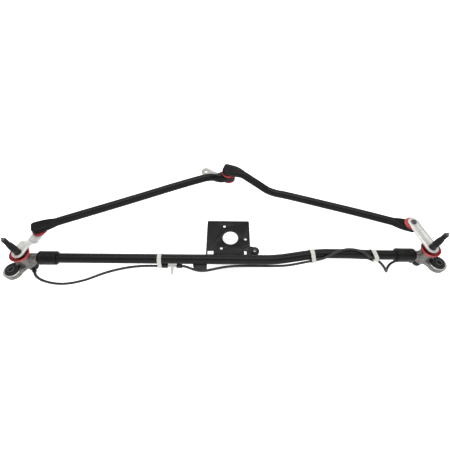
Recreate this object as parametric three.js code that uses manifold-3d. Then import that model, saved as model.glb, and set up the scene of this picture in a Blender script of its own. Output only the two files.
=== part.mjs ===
// Windscreen wiper linkage of a large vehicle: a frame tube with a wiper pivot at each end, a motor plate,
// two drive links that share one double ball stud on the crank, and the washer hose that feeds both shafts.
// X runs along the tube, Y points from the pivots towards the centre joint, Z is up along the pivot shafts.
import * as THREE from "three";
import { mergeVertices } from "three/addons/utils/BufferGeometryUtils.js";
import Module from "manifold-3d";

const wasm = await Module();
wasm.setup();

// ---- Driving dimensions, millimetres and degrees. The tube's axis is at z = 0. ----
const GAP = 0.3; // air between neighbouring pieces
const ORIGIN_Y = 16; // the frame's origin is on the motor plate's front strip, behind the tube

const TUBE = { radius: 11, wall: 2, y: -1, from: -400, to: 398 };
const TUBE_BEND = { offset: 17, from: 90, to: 230 }; // the right half steps back by offset
const TUBE_RETURN = { offset: 2, from: 270, to: 340 }; // and comes forward a little again

const COLLAR = { radius: 15.6, bore: 11.3, length: 43, chamfer: 3 };
const NECK_RADIUS = 10.7;
const SPIGOT = { radius: 8.7, length: 24 };

const PIVOTS = {
  left: { x: -440, y: -6, side: -1, eye: [-23, -24.8], leverAngle: 74.4, collarFrom: -413.5 },
  right: { x: 445, y: 15, side: 1, eye: [24.5, -20], leverAngle: 104.9, collarFrom: 378.5 },
};
const BOSS = { low: -18, high: 17, radius: 14.8, topRadius: 13.6, bore: 9.3 };
const EYE = { radius: 18.5, hole: 14.2, low: -14, high: -1 };
const SHAFT_RADIUS = 7;

const LEVER = { length: 68, radius: 13, endRadius: 11.8, thickness: 4, low: 30 };
const LEFT_LEVER_DROP = { by: 14, from: 25, to: 37 }; // the Z-bend, measured along the lever

const CENTRE_JOINT = { x: 7, y: 223 };
const LINK = { radius: 9.5, endWidth: 27, endTip: 13, endThickness: 14, corner: 7, taper: 40 };
const LEFT_INNER_WIDTH = 31; // the left link's end on the crank is flattened wider
const OPEN_END = { endWidth: 29, endTip: 14 }; // the right link's inner end, round the loose socket
const LEFT_LINK_LOW = 25; // underside of the left link's flat ends
const RIGHT_LINK_LOW = { outer: 11, inner: 44.5 };

const BALL_RADIUS = 6.5;
const BALL_Z = { leftLever: 29.5, rightLever: 20.5, crankLow: 29.5, crankHigh: 49 };
const SOCKET = { bore: 9.3, liner: 9, ball: 7.3, mouth: 6.2 };
const OPEN_SOCKET = { bore: 12, liner: 11.7, hollow: 10.5 }; // loose fit of the right link's inner end
const BOOT = { radius: 17, hole: 7.6, groove: 1.6 };

const CRANK = { length: 65, angle: 156, low: 16, thickness: 4, studRadius: 13, endRadius: 12.5, hole: 4.1 };

const PLATE = { left: -43, right: 57, front: 10.4, back: 103.5, thickness: 3, corner: 3.5, flange: 9 };
const PLATE_HOLE = { x: 12, y: 56, radius: 18 };
const PLATE_BOLTS = { circle: 35, radius: 3.2, first: -6, count: 3 };
const PLATE_EAR = { x: 67, y: 21.2, radius: 10.5, hole: 7 };

const BLOCK = { left: -71, right: -41, front: -14, back: 8, low: -28, high: -4 };

const HOSE_RADIUS = 2.8;
const ELBOW = { radius: 10, low: -37, high: -23, armZ: -29, armRadius: 4.3, armReach: 18 };
const TEE = { x: -117, y: -12.9, z: -10.7, half: 9.5, radius: 3.6, barb: 2.3, barbLength: 6, stem: 19 };
const HOSE_SLEEVE = { radius: 4.5, bore: 3.2, length: 12 };
const BAND = { width: 9, thickness: 1.3 };

// ---- Materials ----
const paint = { color: 0x17181a, roughness: 0.42, metalness: 0.25 };
const rubber = { color: 0x1a1b1c, roughness: 0.75, metalness: 0 };
const casting = { color: 0x77756f, roughness: 0.55, metalness: 0.8 };
const zinc = { color: 0xd9dbd6, roughness: 0.32, metalness: 0.85 };
const steel = { color: 0x8c8e90, roughness: 0.35, metalness: 0.9 };
const bronze = { color: 0x9a7a4c, roughness: 0.5, metalness: 0.8 };
const blackShaft = { color: 0x1d1d1e, roughness: 0.5, metalness: 0.5 };
const redRubber = { color: 0xa32a2c, roughness: 0.5, metalness: 0 };
const whitePlastic = { color: 0xe8e8e2, roughness: 0.45, metalness: 0 };
const blackPlastic = { color: 0x141415, roughness: 0.5, metalness: 0 };
const nylon = { color: 0xd8d3c2, roughness: 0.5, metalness: 0 };

// ---- Solids: every shape is a three.js geometry, and manifold-3d joins and cuts them ----
const rad = THREE.MathUtils.degToRad;

// A three.js geometry as a manifold-3d solid, with its faces turned outwards.
function solid(geometry) {
  const bare = geometry.index ? geometry.toNonIndexed() : geometry.clone();
  bare.deleteAttribute("normal");
  bare.deleteAttribute("uv");
  const merged = mergeVertices(bare, 1e-3);
  const build = (triVerts) =>
    new wasm.Manifold(
      new wasm.Mesh({ numProp: 3, vertProperties: merged.attributes.position.array, triVerts }),
    );
  const triangles = new Uint32Array(merged.index.array);
  const made = build(triangles);
  return made.volume() < 0 ? build(triangles.reverse()) : made;
}

function geometryOf(made) {
  const mesh = made.getMesh();
  const geometry = new THREE.BufferGeometry();
  geometry.setAttribute("position", new THREE.BufferAttribute(mesh.vertProperties, 3));
  geometry.setIndex(new THREE.BufferAttribute(mesh.triVerts, 1));
  return geometry;
}

const join = (...parts) => geometryOf(parts.map(solid).reduce((a, b) => a.add(b)));
const cut = (body, ...tools) => geometryOf(tools.map(solid).reduce((a, b) => a.subtract(b), solid(body)));
const common = (a, b) => geometryOf(solid(a).intersect(solid(b)));

// A round bar along Z.
function bar(radius, low, high, x = 0, y = 0, topRadius = radius, sides = 16) {
  const made = new THREE.CylinderGeometry(topRadius, radius, high - low, sides);
  return made.rotateX(Math.PI / 2).translate(x, y, (low + high) / 2);
}

function block(left, right, front, back, low, high) {
  const made = new THREE.BoxGeometry(right - left, back - front, high - low);
  return made.translate((left + right) / 2, (front + back) / 2, (low + high) / 2);
}

// A body of revolution about Z from [radius, z] points. A profile that starts and ends off the axis is closed.
function turned(profile, sides = 16) {
  const points = profile.map(([r, z]) => new THREE.Vector2(r, z));
  const last = points[points.length - 1];
  if (points[0].x > 0 || last.x > 0) points.push(points[0].clone());
  return geometryOf(solid(new THREE.LatheGeometry(points, sides).rotateX(Math.PI / 2)));
}

const ring = (outer, inner, low, high, sides) =>
  turned([[inner, low], [outer, low], [outer, high], [inner, high]], sides);

// The [radius, z] points of a ball's side, between two radii where necks or mouths meet it.
function ballSide(radius, z, lowRadius, highRadius, steps = 4) {
  const from = Math.PI - Math.asin(lowRadius / radius);
  const to = Math.asin(highRadius / radius);
  return Array.from({ length: steps + 1 }, (_, i) => {
    const angle = from + ((to - from) * i) / steps;
    return [radius * Math.sin(angle), z + radius * Math.cos(angle)];
  });
}

// Each arc of a shape gets twice curveSegments sides.
function sheet(shape, low, high, curveSegments = 6) {
  const made = new THREE.ExtrudeGeometry(shape, { depth: high - low, bevelEnabled: false, curveSegments });
  return geometryOf(solid(made.translate(0, 0, low)));
}

const circle = (x, y, radius) => new THREE.Path().absarc(x, y, radius, 0, 2 * Math.PI, false);

// A bar of round section along a smooth curve through the points, with an optional bore.
function along(points, radius, { steps, sides = 8, bore = 0 }) {
  const curve = new THREE.CatmullRomCurve3(points.map((p) => new THREE.Vector3(...p)), false, "centripetal");
  const section = new THREE.Shape().absarc(0, 0, radius, 0, 2 * Math.PI, false);
  if (bore) section.holes.push(circle(0, 0, bore));
  const made = new THREE.ExtrudeGeometry(section, { steps, curveSegments: sides / 2, extrudePath: curve });
  return geometryOf(solid(made));
}

// The outline of a strap round two discs, the first at the origin and the second at x = length.
function strap(length, firstRadius, secondRadius) {
  const lean = Math.acos((firstRadius - secondRadius) / length);
  const shape = new THREE.Shape();
  shape.absarc(0, 0, firstRadius, lean, 2 * Math.PI - lean, false);
  shape.absarc(length, 0, secondRadius, -lean, lean, false);
  shape.closePath();
  return shape;
}

const assembly = new THREE.Group();
assembly.position.y = -ORIGIN_Y;

function add(name, geometry, material, place = {}) {
  const mesh = new THREE.Mesh(geometry, new THREE.MeshStandardMaterial(material));
  mesh.name = name;
  mesh.position.set(place.x ?? 0, place.y ?? 0, place.z ?? 0);
  mesh.rotation.z = rad(place.turn ?? 0);
  assembly.add(mesh);
}

// ---- Frame tube and collars ----
const tubeY = (x) =>
  TUBE.y +
  TUBE_BEND.offset * THREE.MathUtils.smoothstep(x, TUBE_BEND.from, TUBE_BEND.to) -
  TUBE_RETURN.offset * THREE.MathUtils.smoothstep(x, TUBE_RETURN.from, TUBE_RETURN.to);

function tube() {
  const count = 22;
  const points = Array.from({ length: count + 1 }, (_, i) => {
    const x = TUBE.from + ((TUBE.to - TUBE.from) * i) / count;
    return [x, tubeY(x), 0];
  });
  const bore = TUBE.radius - TUBE.wall;
  add("main_tube", along(points, TUBE.radius, { steps: count, sides: 14, bore }), paint);
}

function collar(name, from, y) {
  const { radius, bore, length, chamfer } = COLLAR;
  const profile = [
    [bore, 0],
    [radius - chamfer, 0],
    [radius, chamfer],
    [radius, length - chamfer],
    [radius - chamfer, length],
    [bore, length],
  ];
  add(name, turned(profile, 20).rotateY(Math.PI / 2), paint, { x: from, y });
}

// ---- Pivot ends: casting, bushes, fixing eye, seal, shaft and hose elbow ----
function housing(name, pivot) {
  const tubeEnd = pivot.side < 0 ? TUBE.from : TUBE.to;
  const axisY = tubeY(tubeEnd) - pivot.y;
  const reach = Math.abs(tubeEnd - pivot.x);
  const towardsTube = -pivot.side * (Math.PI / 2);
  const neck = bar(NECK_RADIUS, 0, reach - GAP).rotateY(towardsTube).translate(0, axisY, 0);
  const spigot = bar(SPIGOT.radius, 0, reach + SPIGOT.length).rotateY(towardsTube).translate(0, axisY, 0);
  const [eyeX, eyeY] = pivot.eye;
  const eyeAngle = Math.atan2(eyeY, eyeX);
  const web = sheet(strap(Math.hypot(eyeX, eyeY), BOSS.radius - 1, EYE.radius), EYE.low + 2, EYE.high - 1.5, 8);
  const body = join(
    bar(BOSS.radius, BOSS.low, BOSS.high, 0, 0, BOSS.topRadius, 20),
    bar(EYE.radius, EYE.low, EYE.high, eyeX, eyeY, EYE.radius, 24),
    web.rotateZ(eyeAngle),
    neck,
    spigot,
  );
  const bore = bar(BOSS.bore, BOSS.low - 1, BOSS.high + 1);
  const eye = bar(EYE.hole, EYE.low - 1, EYE.high + 1, eyeX, eyeY, EYE.hole, 20);
  add(name, cut(body, bore, eye), casting, pivot);
}

function grommet(name, x, y, { hole, bore, flange, low, high, lip }) {
  const waist = hole - GAP;
  const profile = [
    [bore, low - GAP - lip],
    [flange, low - GAP - lip],
    [flange, low - GAP],
    [waist, low - GAP],
    [waist, high + GAP],
    [flange, high + GAP],
    [flange, high + GAP + lip],
    [bore, high + GAP + lip],
  ];
  add(name, turned(profile), rubber, { x, y });
}

function pivotEnd(side, pivot) {
  const at = { x: pivot.x, y: pivot.y };
  housing(side + "_pivot_housing", pivot);
  collar(side + "_collar", pivot.collarFrom, tubeY(pivot.side < 0 ? TUBE.from : TUBE.to));
  add(side + "_upper_bush", ring(9, SHAFT_RADIUS + GAP, 3, BOSS.high - GAP), bronze, at);
  add(side + "_lower_bush", ring(9, SHAFT_RADIUS + GAP, BOSS.low + GAP, -4), bronze, at);

  const [eyeX, eyeY] = [pivot.x + pivot.eye[0], pivot.y + pivot.eye[1]];
  const eyeGrommet = { hole: EYE.hole, bore: 7.3, flange: 15.4, low: EYE.low, high: EYE.high, lip: 2.8 };
  grommet(side + "_eye_grommet", eyeX, eyeY, eyeGrommet);
  add(side + "_eye_sleeve", ring(7, 5, EYE.low - 3.8, EYE.high + 3.8), steel, { x: eyeX, y: eyeY });

  const seal = [
    [7.5, 17.4],
    [14.4, 17.4],
    [16.4, 19.8],
    [19.8, 25.4],
    [20.6, 29.5],
    [19.1, 29.5],
    [18.2, 26.4],
    [14.9, 21.6],
    [7.5, 20.2],
  ];
  add(side + "_pivot_seal", turned(seal, 20), redRubber, at);

  const shaft = [
    [1.8, -32],
    [6.5, -32],
    [SHAFT_RADIUS, -31.2],
    [SHAFT_RADIUS, -21.2],
    [6, -21.2],
    [6, -19],
    [SHAFT_RADIUS, -19],
    [SHAFT_RADIUS, 55],
    [5.9, 66],
    [5, 66.5],
    [5, 83],
    [4.2, 84],
    [1.8, 84],
  ];
  add(side + "_pivot_shaft", turned(shaft, 12), blackShaft, at);
  const nozzle = [
    [0, 70],
    [1.5, 70],
    [1.5, 84.3],
    [3.1, 84.3],
    [3.1, 87],
    [1.9, 89.5],
    [0, 89.5],
  ];
  add(side + "_washer_nozzle", turned(nozzle, 8), steel, at);

  const clip = ring(10.6, 6.3, -20.8, -19.4, 14);
  add(side + "_circlip", cut(clip, block(0, 12, -2, 2, -22, -18)), steel, { ...at, turn: 30 });
}

// The elbow's arm points along +X before it is turned towards its hose.
function elbow(name, pivot, turn) {
  const { radius, low, high, armZ, armRadius, armReach } = ELBOW;
  const arm = bar(armRadius, 0, armReach, 0, 0, armRadius, 16).rotateY(Math.PI / 2).translate(0, 0, armZ);
  const channel = bar(1.6, 0, armReach + 1, 0, 0, 1.6, 10).rotateY(Math.PI / 2).translate(0, 0, armZ);
  const pocket = bar(SHAFT_RADIUS + GAP, low + 4, high + 1);
  const body = join(bar(radius - 1.5, low, low + 2, 0, 0, radius), bar(radius, low + 2, high), arm);
  add(name, cut(body, pocket, channel), blackPlastic, { x: pivot.x, y: pivot.y, turn });
}

// ---- Levers and their ball studs ----
function leftLever() {
  const { by, from, to } = LEFT_LEVER_DROP;
  const [low, high] = [LEVER.low, LEVER.low + LEVER.thickness];
  const [start, end] = [-LEVER.radius - 1, LEVER.length + LEVER.radius + 1];
  const side = new THREE.Shape();
  side.moveTo(start, low);
  side.lineTo(from - 1.5, low);
  side.lineTo(to - 1.5, low - by);
  side.lineTo(end, low - by);
  side.lineTo(end, high - by);
  side.lineTo(to + 1.5, high - by);
  side.lineTo(from + 1.5, high);
  side.lineTo(start, high);
  side.closePath();
  const bent = sheet(side, -LEVER.radius - 1, LEVER.radius + 1).rotateX(Math.PI / 2);
  return common(bent, sheet(strap(LEVER.length, LEVER.radius, LEVER.endRadius), low - by - 1, high + 1));
}

function levers() {
  const shaftHole = bar(SHAFT_RADIUS + GAP, 0, 50);
  const studHole = bar(4.3, 0, 50, LEVER.length);
  const left = PIVOTS.left;
  const right = PIVOTS.right;
  add("left_lever", cut(leftLever(), shaftHole, studHole), zinc, { x: left.x, y: left.y, turn: left.leverAngle });
  const flat = sheet(strap(LEVER.length, LEVER.radius, LEVER.endRadius), LEVER.low, LEVER.low + LEVER.thickness);
  const gaugeHole = bar(2.2, 0, 50, 47);
  const rightPlace = { x: right.x, y: right.y, turn: right.leverAngle };
  add("right_lever", cut(flat, shaftHole, studHole, gaugeHole), zinc, rightPlace);
}

const leverEnd = (pivot) => ({
  x: pivot.x + LEVER.length * Math.cos(rad(pivot.leverAngle)),
  y: pivot.y + LEVER.length * Math.sin(rad(pivot.leverAngle)),
});

// A stud's rivet head, shank through a plate and shoulder, up to the neck below its first ball.
const rivetProfile = (plateLow, plateHigh) => [
  [0, plateLow - 3],
  [4.6, plateLow - 3],
  [6, plateLow - 2],
  [6, plateLow - GAP],
  [4, plateLow - GAP],
  [4, plateHigh + GAP],
  [6, plateHigh + GAP],
  [6, plateHigh + 1.4],
  [3.6, plateHigh + 2.4],
];

function ballStuds() {
  const lowPlate = LEVER.low - LEFT_LEVER_DROP.by;
  const left = [
    ...rivetProfile(lowPlate, lowPlate + LEVER.thickness),
    ...ballSide(BALL_RADIUS, BALL_Z.leftLever, 3.6, 0),
  ];
  add("left_ball_stud", turned(left, 12), steel, leverEnd(PIVOTS.left));

  // The right stud hangs below its lever, so the same profile is turned over.
  const flipped = (profile) => profile.map(([r, z]) => [r, -z]);
  const right = [
    ...rivetProfile(-LEVER.low - LEVER.thickness, -LEVER.low),
    ...ballSide(BALL_RADIUS, -BALL_Z.rightLever, 3.6, 0),
  ];
  add("right_ball_stud", turned(flipped(right), 12), steel, leverEnd(PIVOTS.right));
}

// ---- Links: a tube with a flat, square-cornered end round each ball, socket liners and boots ----
function linkEndShape(width, tip) {
  const { radius, corner, taper } = LINK;
  const half = width / 2;
  const shape = new THREE.Shape();
  shape.moveTo(tip - corner, half);
  shape.absarc(corner - tip, half - corner, corner, Math.PI / 2, Math.PI, false);
  shape.absarc(corner - tip, corner - half, corner, Math.PI, 1.5 * Math.PI, false);
  shape.lineTo(tip - corner, -half);
  shape.quadraticCurveTo(taper / 2, -half, taper, -radius);
  shape.lineTo(taper, radius);
  shape.quadraticCurveTo(taper / 2, half, tip - corner, half);
  return shape;
}

function linkEnd(low, width = LINK.endWidth, tip = LINK.endTip) {
  const bevel = { bevelEnabled: true, bevelThickness: 2, bevelSize: 2, bevelOffset: -2, bevelSegments: 1 };
  const depth = LINK.endThickness - 2 * bevel.bevelThickness;
  const made = new THREE.ExtrudeGeometry(linkEndShape(width, tip), { depth, curveSegments: 6, ...bevel });
  return geometryOf(solid(made.translate(0, 0, low + bevel.bevelThickness)));
}

const spanOf = (from, to) => ({
  length: Math.hypot(to.x - from.x, to.y - from.y),
  turn: THREE.MathUtils.radToDeg(Math.atan2(to.y - from.y, to.x - from.x)),
});

// The left link's tube rises gently towards the crank, then drops to its inner end.
function leftLink() {
  const from = leverEnd(PIVOTS.left);
  const { length, turn } = spanOf(from, CENTRE_JOINT);
  const axisZ = LEFT_LINK_LOW + LINK.endThickness / 2;
  const route = [
    [28, 0, axisZ],
    [60, 0, axisZ + 1.5],
    [length - 317, 0, axisZ + 4.5],
    [length - 231, 0, axisZ + 8],
    [length - 140, 0, axisZ + 12.5],
    [length - 75, 0, axisZ + 14],
    [length - 58, 0, axisZ + 13.4],
    [length - 46, 0, axisZ + 10.6],
    [length - 37, 0, axisZ + 6],
    [length - 30, 0, axisZ + 2.4],
    [length - 26, 0, axisZ + 1],
  ];
  const rod = along(route, LINK.radius, { steps: 26, sides: 12 });
  const inner = linkEnd(LEFT_LINK_LOW, LEFT_INNER_WIDTH).rotateZ(Math.PI).translate(length, 0, 0);
  const innerTrimmed = cut(inner, block(length - 100, length - 31, -30, 30, 0, 80));
  const body = join(rod, linkEnd(LEFT_LINK_LOW), innerTrimmed);
  const outerBore = bar(SOCKET.bore, LEFT_LINK_LOW - 1, LEFT_LINK_LOW + LINK.endThickness - 1.7);
  const innerBore = bar(SOCKET.bore, 0, 60, length);
  add("left_link", cut(body, outerBore, innerBore), paint, { ...from, turn });
}

// The right link runs low from its lever and steps up over the left link's end to the upper ball.
function rightLink() {
  const from = leverEnd(PIVOTS.right);
  const { length, turn } = spanOf(from, CENTRE_JOINT);
  const half = LINK.endThickness / 2;
  const lowZ = RIGHT_LINK_LOW.outer + half;
  const highZ = RIGHT_LINK_LOW.inner + half;
  const route = [
    [28, 0, lowZ],
    [127, 0.3, lowZ],
    [184, 1.5, lowZ],
    [242, 2.7, lowZ],
    [302, 4.7, lowZ],
    [length - 132, 5.8, lowZ],
    [length - 118, 6.1, lowZ + 0.6],
    [length - 104, 5.9, lowZ + 3.4],
    [length - 79, 4.4, highZ - 19.3],
    [length - 56, 2.7, highZ - 9.7],
    [length - 42, 1.5, highZ - 4.1],
    [length - 33, 0.8, highZ - 1.3],
    [length - 26, 0.3, highZ - 0.5],
  ];
  const { endWidth, endTip } = OPEN_END;
  const inner = linkEnd(RIGHT_LINK_LOW.inner, endWidth, endTip).rotateZ(Math.PI).translate(length, 0, 0);
  // The flat end is cut short where the tube starts its step down.
  const innerTrimmed = cut(inner, block(length - 100, length - 30, -30, 30, 0, 80));
  const rod = along(route, LINK.radius, { steps: 34, sides: 12 });
  const body = join(rod, linkEnd(RIGHT_LINK_LOW.outer), innerTrimmed);
  const outerBore = bar(SOCKET.bore, RIGHT_LINK_LOW.outer + 1.7, RIGHT_LINK_LOW.outer + 20);
  const innerBore = bar(OPEN_SOCKET.bore, RIGHT_LINK_LOW.inner - 1, RIGHT_LINK_LOW.inner + 12.8, length);
  add("right_link", cut(body, outerBore, innerBore), paint, { ...from, turn });
}

// A cup-shaped liner, open towards the stud, from its mouth's z to its closed end's z.
function cupLiner(mouthZ, endZ, ballZ) {
  const up = Math.sign(endZ - mouthZ);
  const inside = ballSide(SOCKET.ball, 0, SOCKET.mouth, 0).map(([r, z]) => [r, ballZ + up * z]);
  return turned([...inside.reverse(), [SOCKET.mouth, mouthZ], [SOCKET.liner, mouthZ], [SOCKET.liner, endZ], [0, endZ]]);
}

function socketLiners() {
  const low = LEFT_LINK_LOW + GAP;
  const top = LEFT_LINK_LOW + LINK.endThickness;
  add("left_outer_socket", cupLiner(low, top - 2, BALL_Z.leftLever), nylon, leverEnd(PIVOTS.left));
  const rightMouth = RIGHT_LINK_LOW.outer + LINK.endThickness - GAP;
  const rightEnd = RIGHT_LINK_LOW.outer + 2;
  add("right_outer_socket", cupLiner(rightMouth, rightEnd, BALL_Z.rightLever), nylon, leverEnd(PIVOTS.right));

  const through = [
    [SOCKET.mouth, low],
    ...ballSide(SOCKET.ball, BALL_Z.crankLow, SOCKET.mouth, SOCKET.mouth),
    [SOCKET.mouth, top - GAP],
    [SOCKET.liner, top - GAP],
    [SOCKET.liner, low],
  ];
  add("left_inner_socket", turned(through), nylon, CENTRE_JOINT);

  const base = RIGHT_LINK_LOW.inner;
  const { liner, hollow } = OPEN_SOCKET;
  const cap = [
    [0, base + 12.5],
    [liner, base + 12.5],
    [liner, base + GAP],
    [hollow, base + GAP],
    [hollow, base + 11.6],
    [0, base + 11.6],
  ];
  add("right_inner_socket", turned(cap), nylon, CENTRE_JOINT);
}

function boot(name, low, high, place) {
  const { radius, hole, groove } = BOOT;
  const middle = (low + high) / 2;
  const profile = [
    [hole, low],
    [radius, low],
    [radius - groove, middle],
    [radius, high],
    [hole, high],
  ];
  add(name, turned(profile), redRubber, place);
}

function boots() {
  const leftPlateTop = LEVER.low - LEFT_LEVER_DROP.by + LEVER.thickness;
  const rightLinkTop = RIGHT_LINK_LOW.outer + LINK.endThickness;
  const leftLinkTop = LEFT_LINK_LOW + LINK.endThickness;
  boot("left_outer_boot", leftPlateTop + GAP, LEFT_LINK_LOW - GAP, leverEnd(PIVOTS.left));
  boot("right_outer_boot", rightLinkTop + GAP, LEVER.low - GAP, leverEnd(PIVOTS.right));
  boot("centre_lower_boot", CRANK.low + CRANK.thickness + GAP, LEFT_LINK_LOW - GAP, CENTRE_JOINT);
  boot("centre_upper_boot", leftLinkTop + GAP, RIGHT_LINK_LOW.inner - GAP, CENTRE_JOINT);
}

// ---- Crank with its double ball stud ----
function crank() {
  const { length, angle, low, thickness, studRadius, endRadius, hole } = CRANK;
  const shape = new THREE.Shape();
  shape.absarc(0, 0, studRadius, rad(60), rad(300), false);
  shape.quadraticCurveTo(length / 2, -5.5, length - endRadius / 2, -endRadius * Math.sin(rad(60)));
  shape.absarc(length, 0, endRadius, rad(240), rad(480), false);
  shape.quadraticCurveTo(length / 2, 5.5, studRadius / 2, studRadius * Math.sin(rad(60)));
  const plate = sheet(shape, low, low + thickness);
  const shaftHole = bar(hole - 0.4, low - 1, low + thickness + 1, length, 0, hole + 0.4);
  add("crank_arm", cut(plate, bar(4.3, 0, 40), shaftHole), zinc, { ...CENTRE_JOINT, turn: angle });

  const stud = [
    ...rivetProfile(low, low + thickness),
    ...ballSide(BALL_RADIUS, BALL_Z.crankLow, 3.6, 3.6),
    ...ballSide(BALL_RADIUS, BALL_Z.crankHigh, 3.6, 0),
  ];
  add("double_ball_stud", turned(stud, 12), steel, CENTRE_JOINT);
}

// ---- Motor plate with its ear, and the support block ----
function motorPlate() {
  const { left, right, front, back, thickness, corner, flange } = PLATE;
  const shape = new THREE.Shape();
  shape.moveTo(left, front);
  shape.lineTo(right, front);
  shape.lineTo(right, back - corner);
  shape.absarc(right - corner, back - corner, corner, 0, Math.PI / 2, false);
  shape.absarc(left + corner, back - corner, corner, Math.PI / 2, Math.PI, false);
  shape.closePath();
  shape.holes.push(circle(PLATE_HOLE.x, PLATE_HOLE.y, PLATE_HOLE.radius));
  for (let i = 0; i < PLATE_BOLTS.count; i++) {
    const angle = rad(PLATE_BOLTS.first + (360 * i) / PLATE_BOLTS.count);
    const x = PLATE_HOLE.x + PLATE_BOLTS.circle * Math.cos(angle);
    const y = PLATE_HOLE.y + PLATE_BOLTS.circle * Math.sin(angle);
    shape.holes.push(circle(x, y, PLATE_BOLTS.radius));
  }
  const ear = join(
    bar(PLATE_EAR.radius, -thickness, 0, PLATE_EAR.x, PLATE_EAR.y),
    block(right - 2, PLATE_EAR.x, PLATE_EAR.y - 7, PLATE_EAR.y + 8, -thickness, 0),
  );
  const [flangeFront, flangeBack] = [front + 14, back - corner - 2];
  const body = join(
    sheet(shape, -thickness, 0, 10),
    block(left, left + thickness, flangeFront, flangeBack, -flange, 0),
    block(right - thickness, right, flangeFront, flangeBack, -flange, 0),
    ear,
  );
  const plate = cut(
    body,
    block(-39.5, -26, front + 1.6, 21.5, -10, 10),
    block(43, 48.5, front + 1.6, 21.5, -10, 10),
    bar(PLATE_EAR.hole, -10, 10, PLATE_EAR.x, PLATE_EAR.y),
  );
  add("motor_plate", plate, paint);

  const earGrommet = { hole: PLATE_EAR.hole, bore: 4.6, flange: 9.8, low: -thickness, high: 0, lip: 2.2 };
  grommet("ear_grommet", PLATE_EAR.x, PLATE_EAR.y, earGrommet);
  const earSleeve = ring(4.3, 3.1, -thickness - 3, 3, 14);
  add("ear_sleeve", earSleeve, steel, { x: PLATE_EAR.x, y: PLATE_EAR.y });

  const { front: near, back: far, low, high } = BLOCK;
  const aroundTube = bar(TUBE.radius + GAP, -100, 100).rotateY(Math.PI / 2).translate(0, TUBE.y, 0);
  add("support_block", cut(block(BLOCK.left, BLOCK.right, near, far, low, high), aroundTube), rubber);
}

// ---- Washer hose: T-piece, sleeves, two runs and the bands that hold them ----
function tee() {
  const { half, radius, barb, barbLength, stem } = TEE;
  const reach = half + barbLength;
  const lying = (geometry) => geometry.rotateY(Math.PI / 2);
  const body = join(
    lying(bar(radius, -half, half, 0, 0, radius, 16)),
    lying(bar(barb, -reach, reach, 0, 0, barb, 12)),
    bar(radius - 0.4, 0, 11, 0, 0, radius - 0.4, 16).rotateX(rad(112)),
    bar(2.6, 0, stem, 0, 0, 2.2, 12).rotateX(rad(112)),
  );
  const stemBore = bar(1.2, 5, stem + 1, 0, 0, 1.2, 8).rotateX(rad(112));
  add("tee_fitting", cut(body, stemBore), whitePlastic, TEE);
  const sleeve = () => lying(ring(HOSE_SLEEVE.radius, HOSE_SLEEVE.bore, 0, HOSE_SLEEVE.length, 12));
  const { x, y, z } = TEE;
  add("tee_left_sleeve", sleeve(), blackPlastic, { x: x - half - GAP - HOSE_SLEEVE.length, y, z });
  add("tee_right_sleeve", sleeve(), blackPlastic, { x: x + half + GAP, y, z });
}

// A point on an elbow's arm axis, that far from the shaft's axis.
const armPoint = (pivot, turn, reach) => [
  pivot.x + reach * Math.cos(rad(turn)),
  pivot.y + reach * Math.sin(rad(turn)),
  ELBOW.armZ,
];

const LEFT_ARM_TURN = -60;
const RIGHT_ARM_TURN = 180;

function hoses() {
  const start = ELBOW.armReach + GAP;
  const teeEnd = TEE.half + TEE.barbLength + GAP;
  const left = [
    armPoint(PIVOTS.left, LEFT_ARM_TURN, start),
    armPoint(PIVOTS.left, LEFT_ARM_TURN, start + 6),
    [-421.7, -33.4, -29.5], [-408.7, -40.6, -30.5], [-394.4, -44.9, -31.3], [-379.6, -47.5, -32],
    [-364.6, -48.5, -32.1], [-349.7, -47.9, -31.6], [-334.8, -46.1, -30.3], [-320.2, -43.3, -28.4],
    [-305.8, -39.5, -26.7], [-291.8, -34.8, -24.4], [-277.8, -30, -22], [-263.6, -25.7, -19.8],
    [-249.2, -22, -17.8], [-234.6, -19, -15.9], [-219.9, -16.6, -14.2], [-205.1, -14.8, -12.7],
    [-190.2, -13.6, -11.7], [-175.2, -13, -11], [-160.2, -12.9, -10.7],
    [-145.2, TEE.y, TEE.z],
    [TEE.x - teeEnd, TEE.y, TEE.z],
  ];
  add("left_hose", along(left, HOSE_RADIUS, { steps: 34, sides: 8 }), rubber);

  // The right run makes one open loop below the tube before it reaches its elbow.
  const right = [
    [TEE.x + teeEnd, TEE.y, TEE.z],
    [-89.2, -13.5, -11], [-77.8, -16.9, -12.3], [-66.5, -20.3, -13.8], [-54.6, -22, -14.7],
    [-42.7, -21.6, -14.6], [-30.9, -19.5, -14], [-19.1, -17, -13.3], [-7.4, -14.8, -12.5],
    [4.5, -13.1, -11.7], [16.4, -12, -11.1], [28.4, -11.5, -10.7], [40.4, -11.3, -10.5],
    [52.4, -11.2, -10.4], [64.4, -11.2, -10.4], [76.4, -11.2, -10.4], [88.4, -11.3, -10.3],
    [100.4, -11.4, -9.9], [112.4, -11.5, -9], [124.3, -11.5, -7.9], [136.2, -11, -6.8],
    [148.1, -9.6, -5.6], [159.9, -7.8, -4.3], [171.6, -5.9, -2.8], [183.4, -4.1, -1.1],
    [195.2, -2.2, 0], [206.9, -0.5, 1.9], [218.1, 1.4, 5.6], [228.8, 5.3, 9.5], [239.3, 9.9, 12.9],
    [250.3, 14.3, 14.3], [261.8, 17.8, 14.6], [273.6, 19.6, 14.3], [285.6, 18.9, 14.4],
    [297.1, 15.7, 14.5], [307.6, 10, 13.6], [317.6, 4.2, 10.5], [328.4, -0.4, 8.3], [337.9, -7.6, 5.8],
    [346, -15, 0.5], [353.3, -18.9, -8.9], [360, -17, -19.3], [366.6, -9.4, -27.3],
    [373.9, 0.2, -31.2], [383.1, 8.9, -31], [394.1, 13.8, -29.6], [406.1, 15, -29], [418.1, 15, -29],
    armPoint(PIVOTS.right, RIGHT_ARM_TURN, start),
  ];
  add("right_hose", along(right, HOSE_RADIUS, { steps: 62, sides: 8 }), rubber);
}

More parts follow.
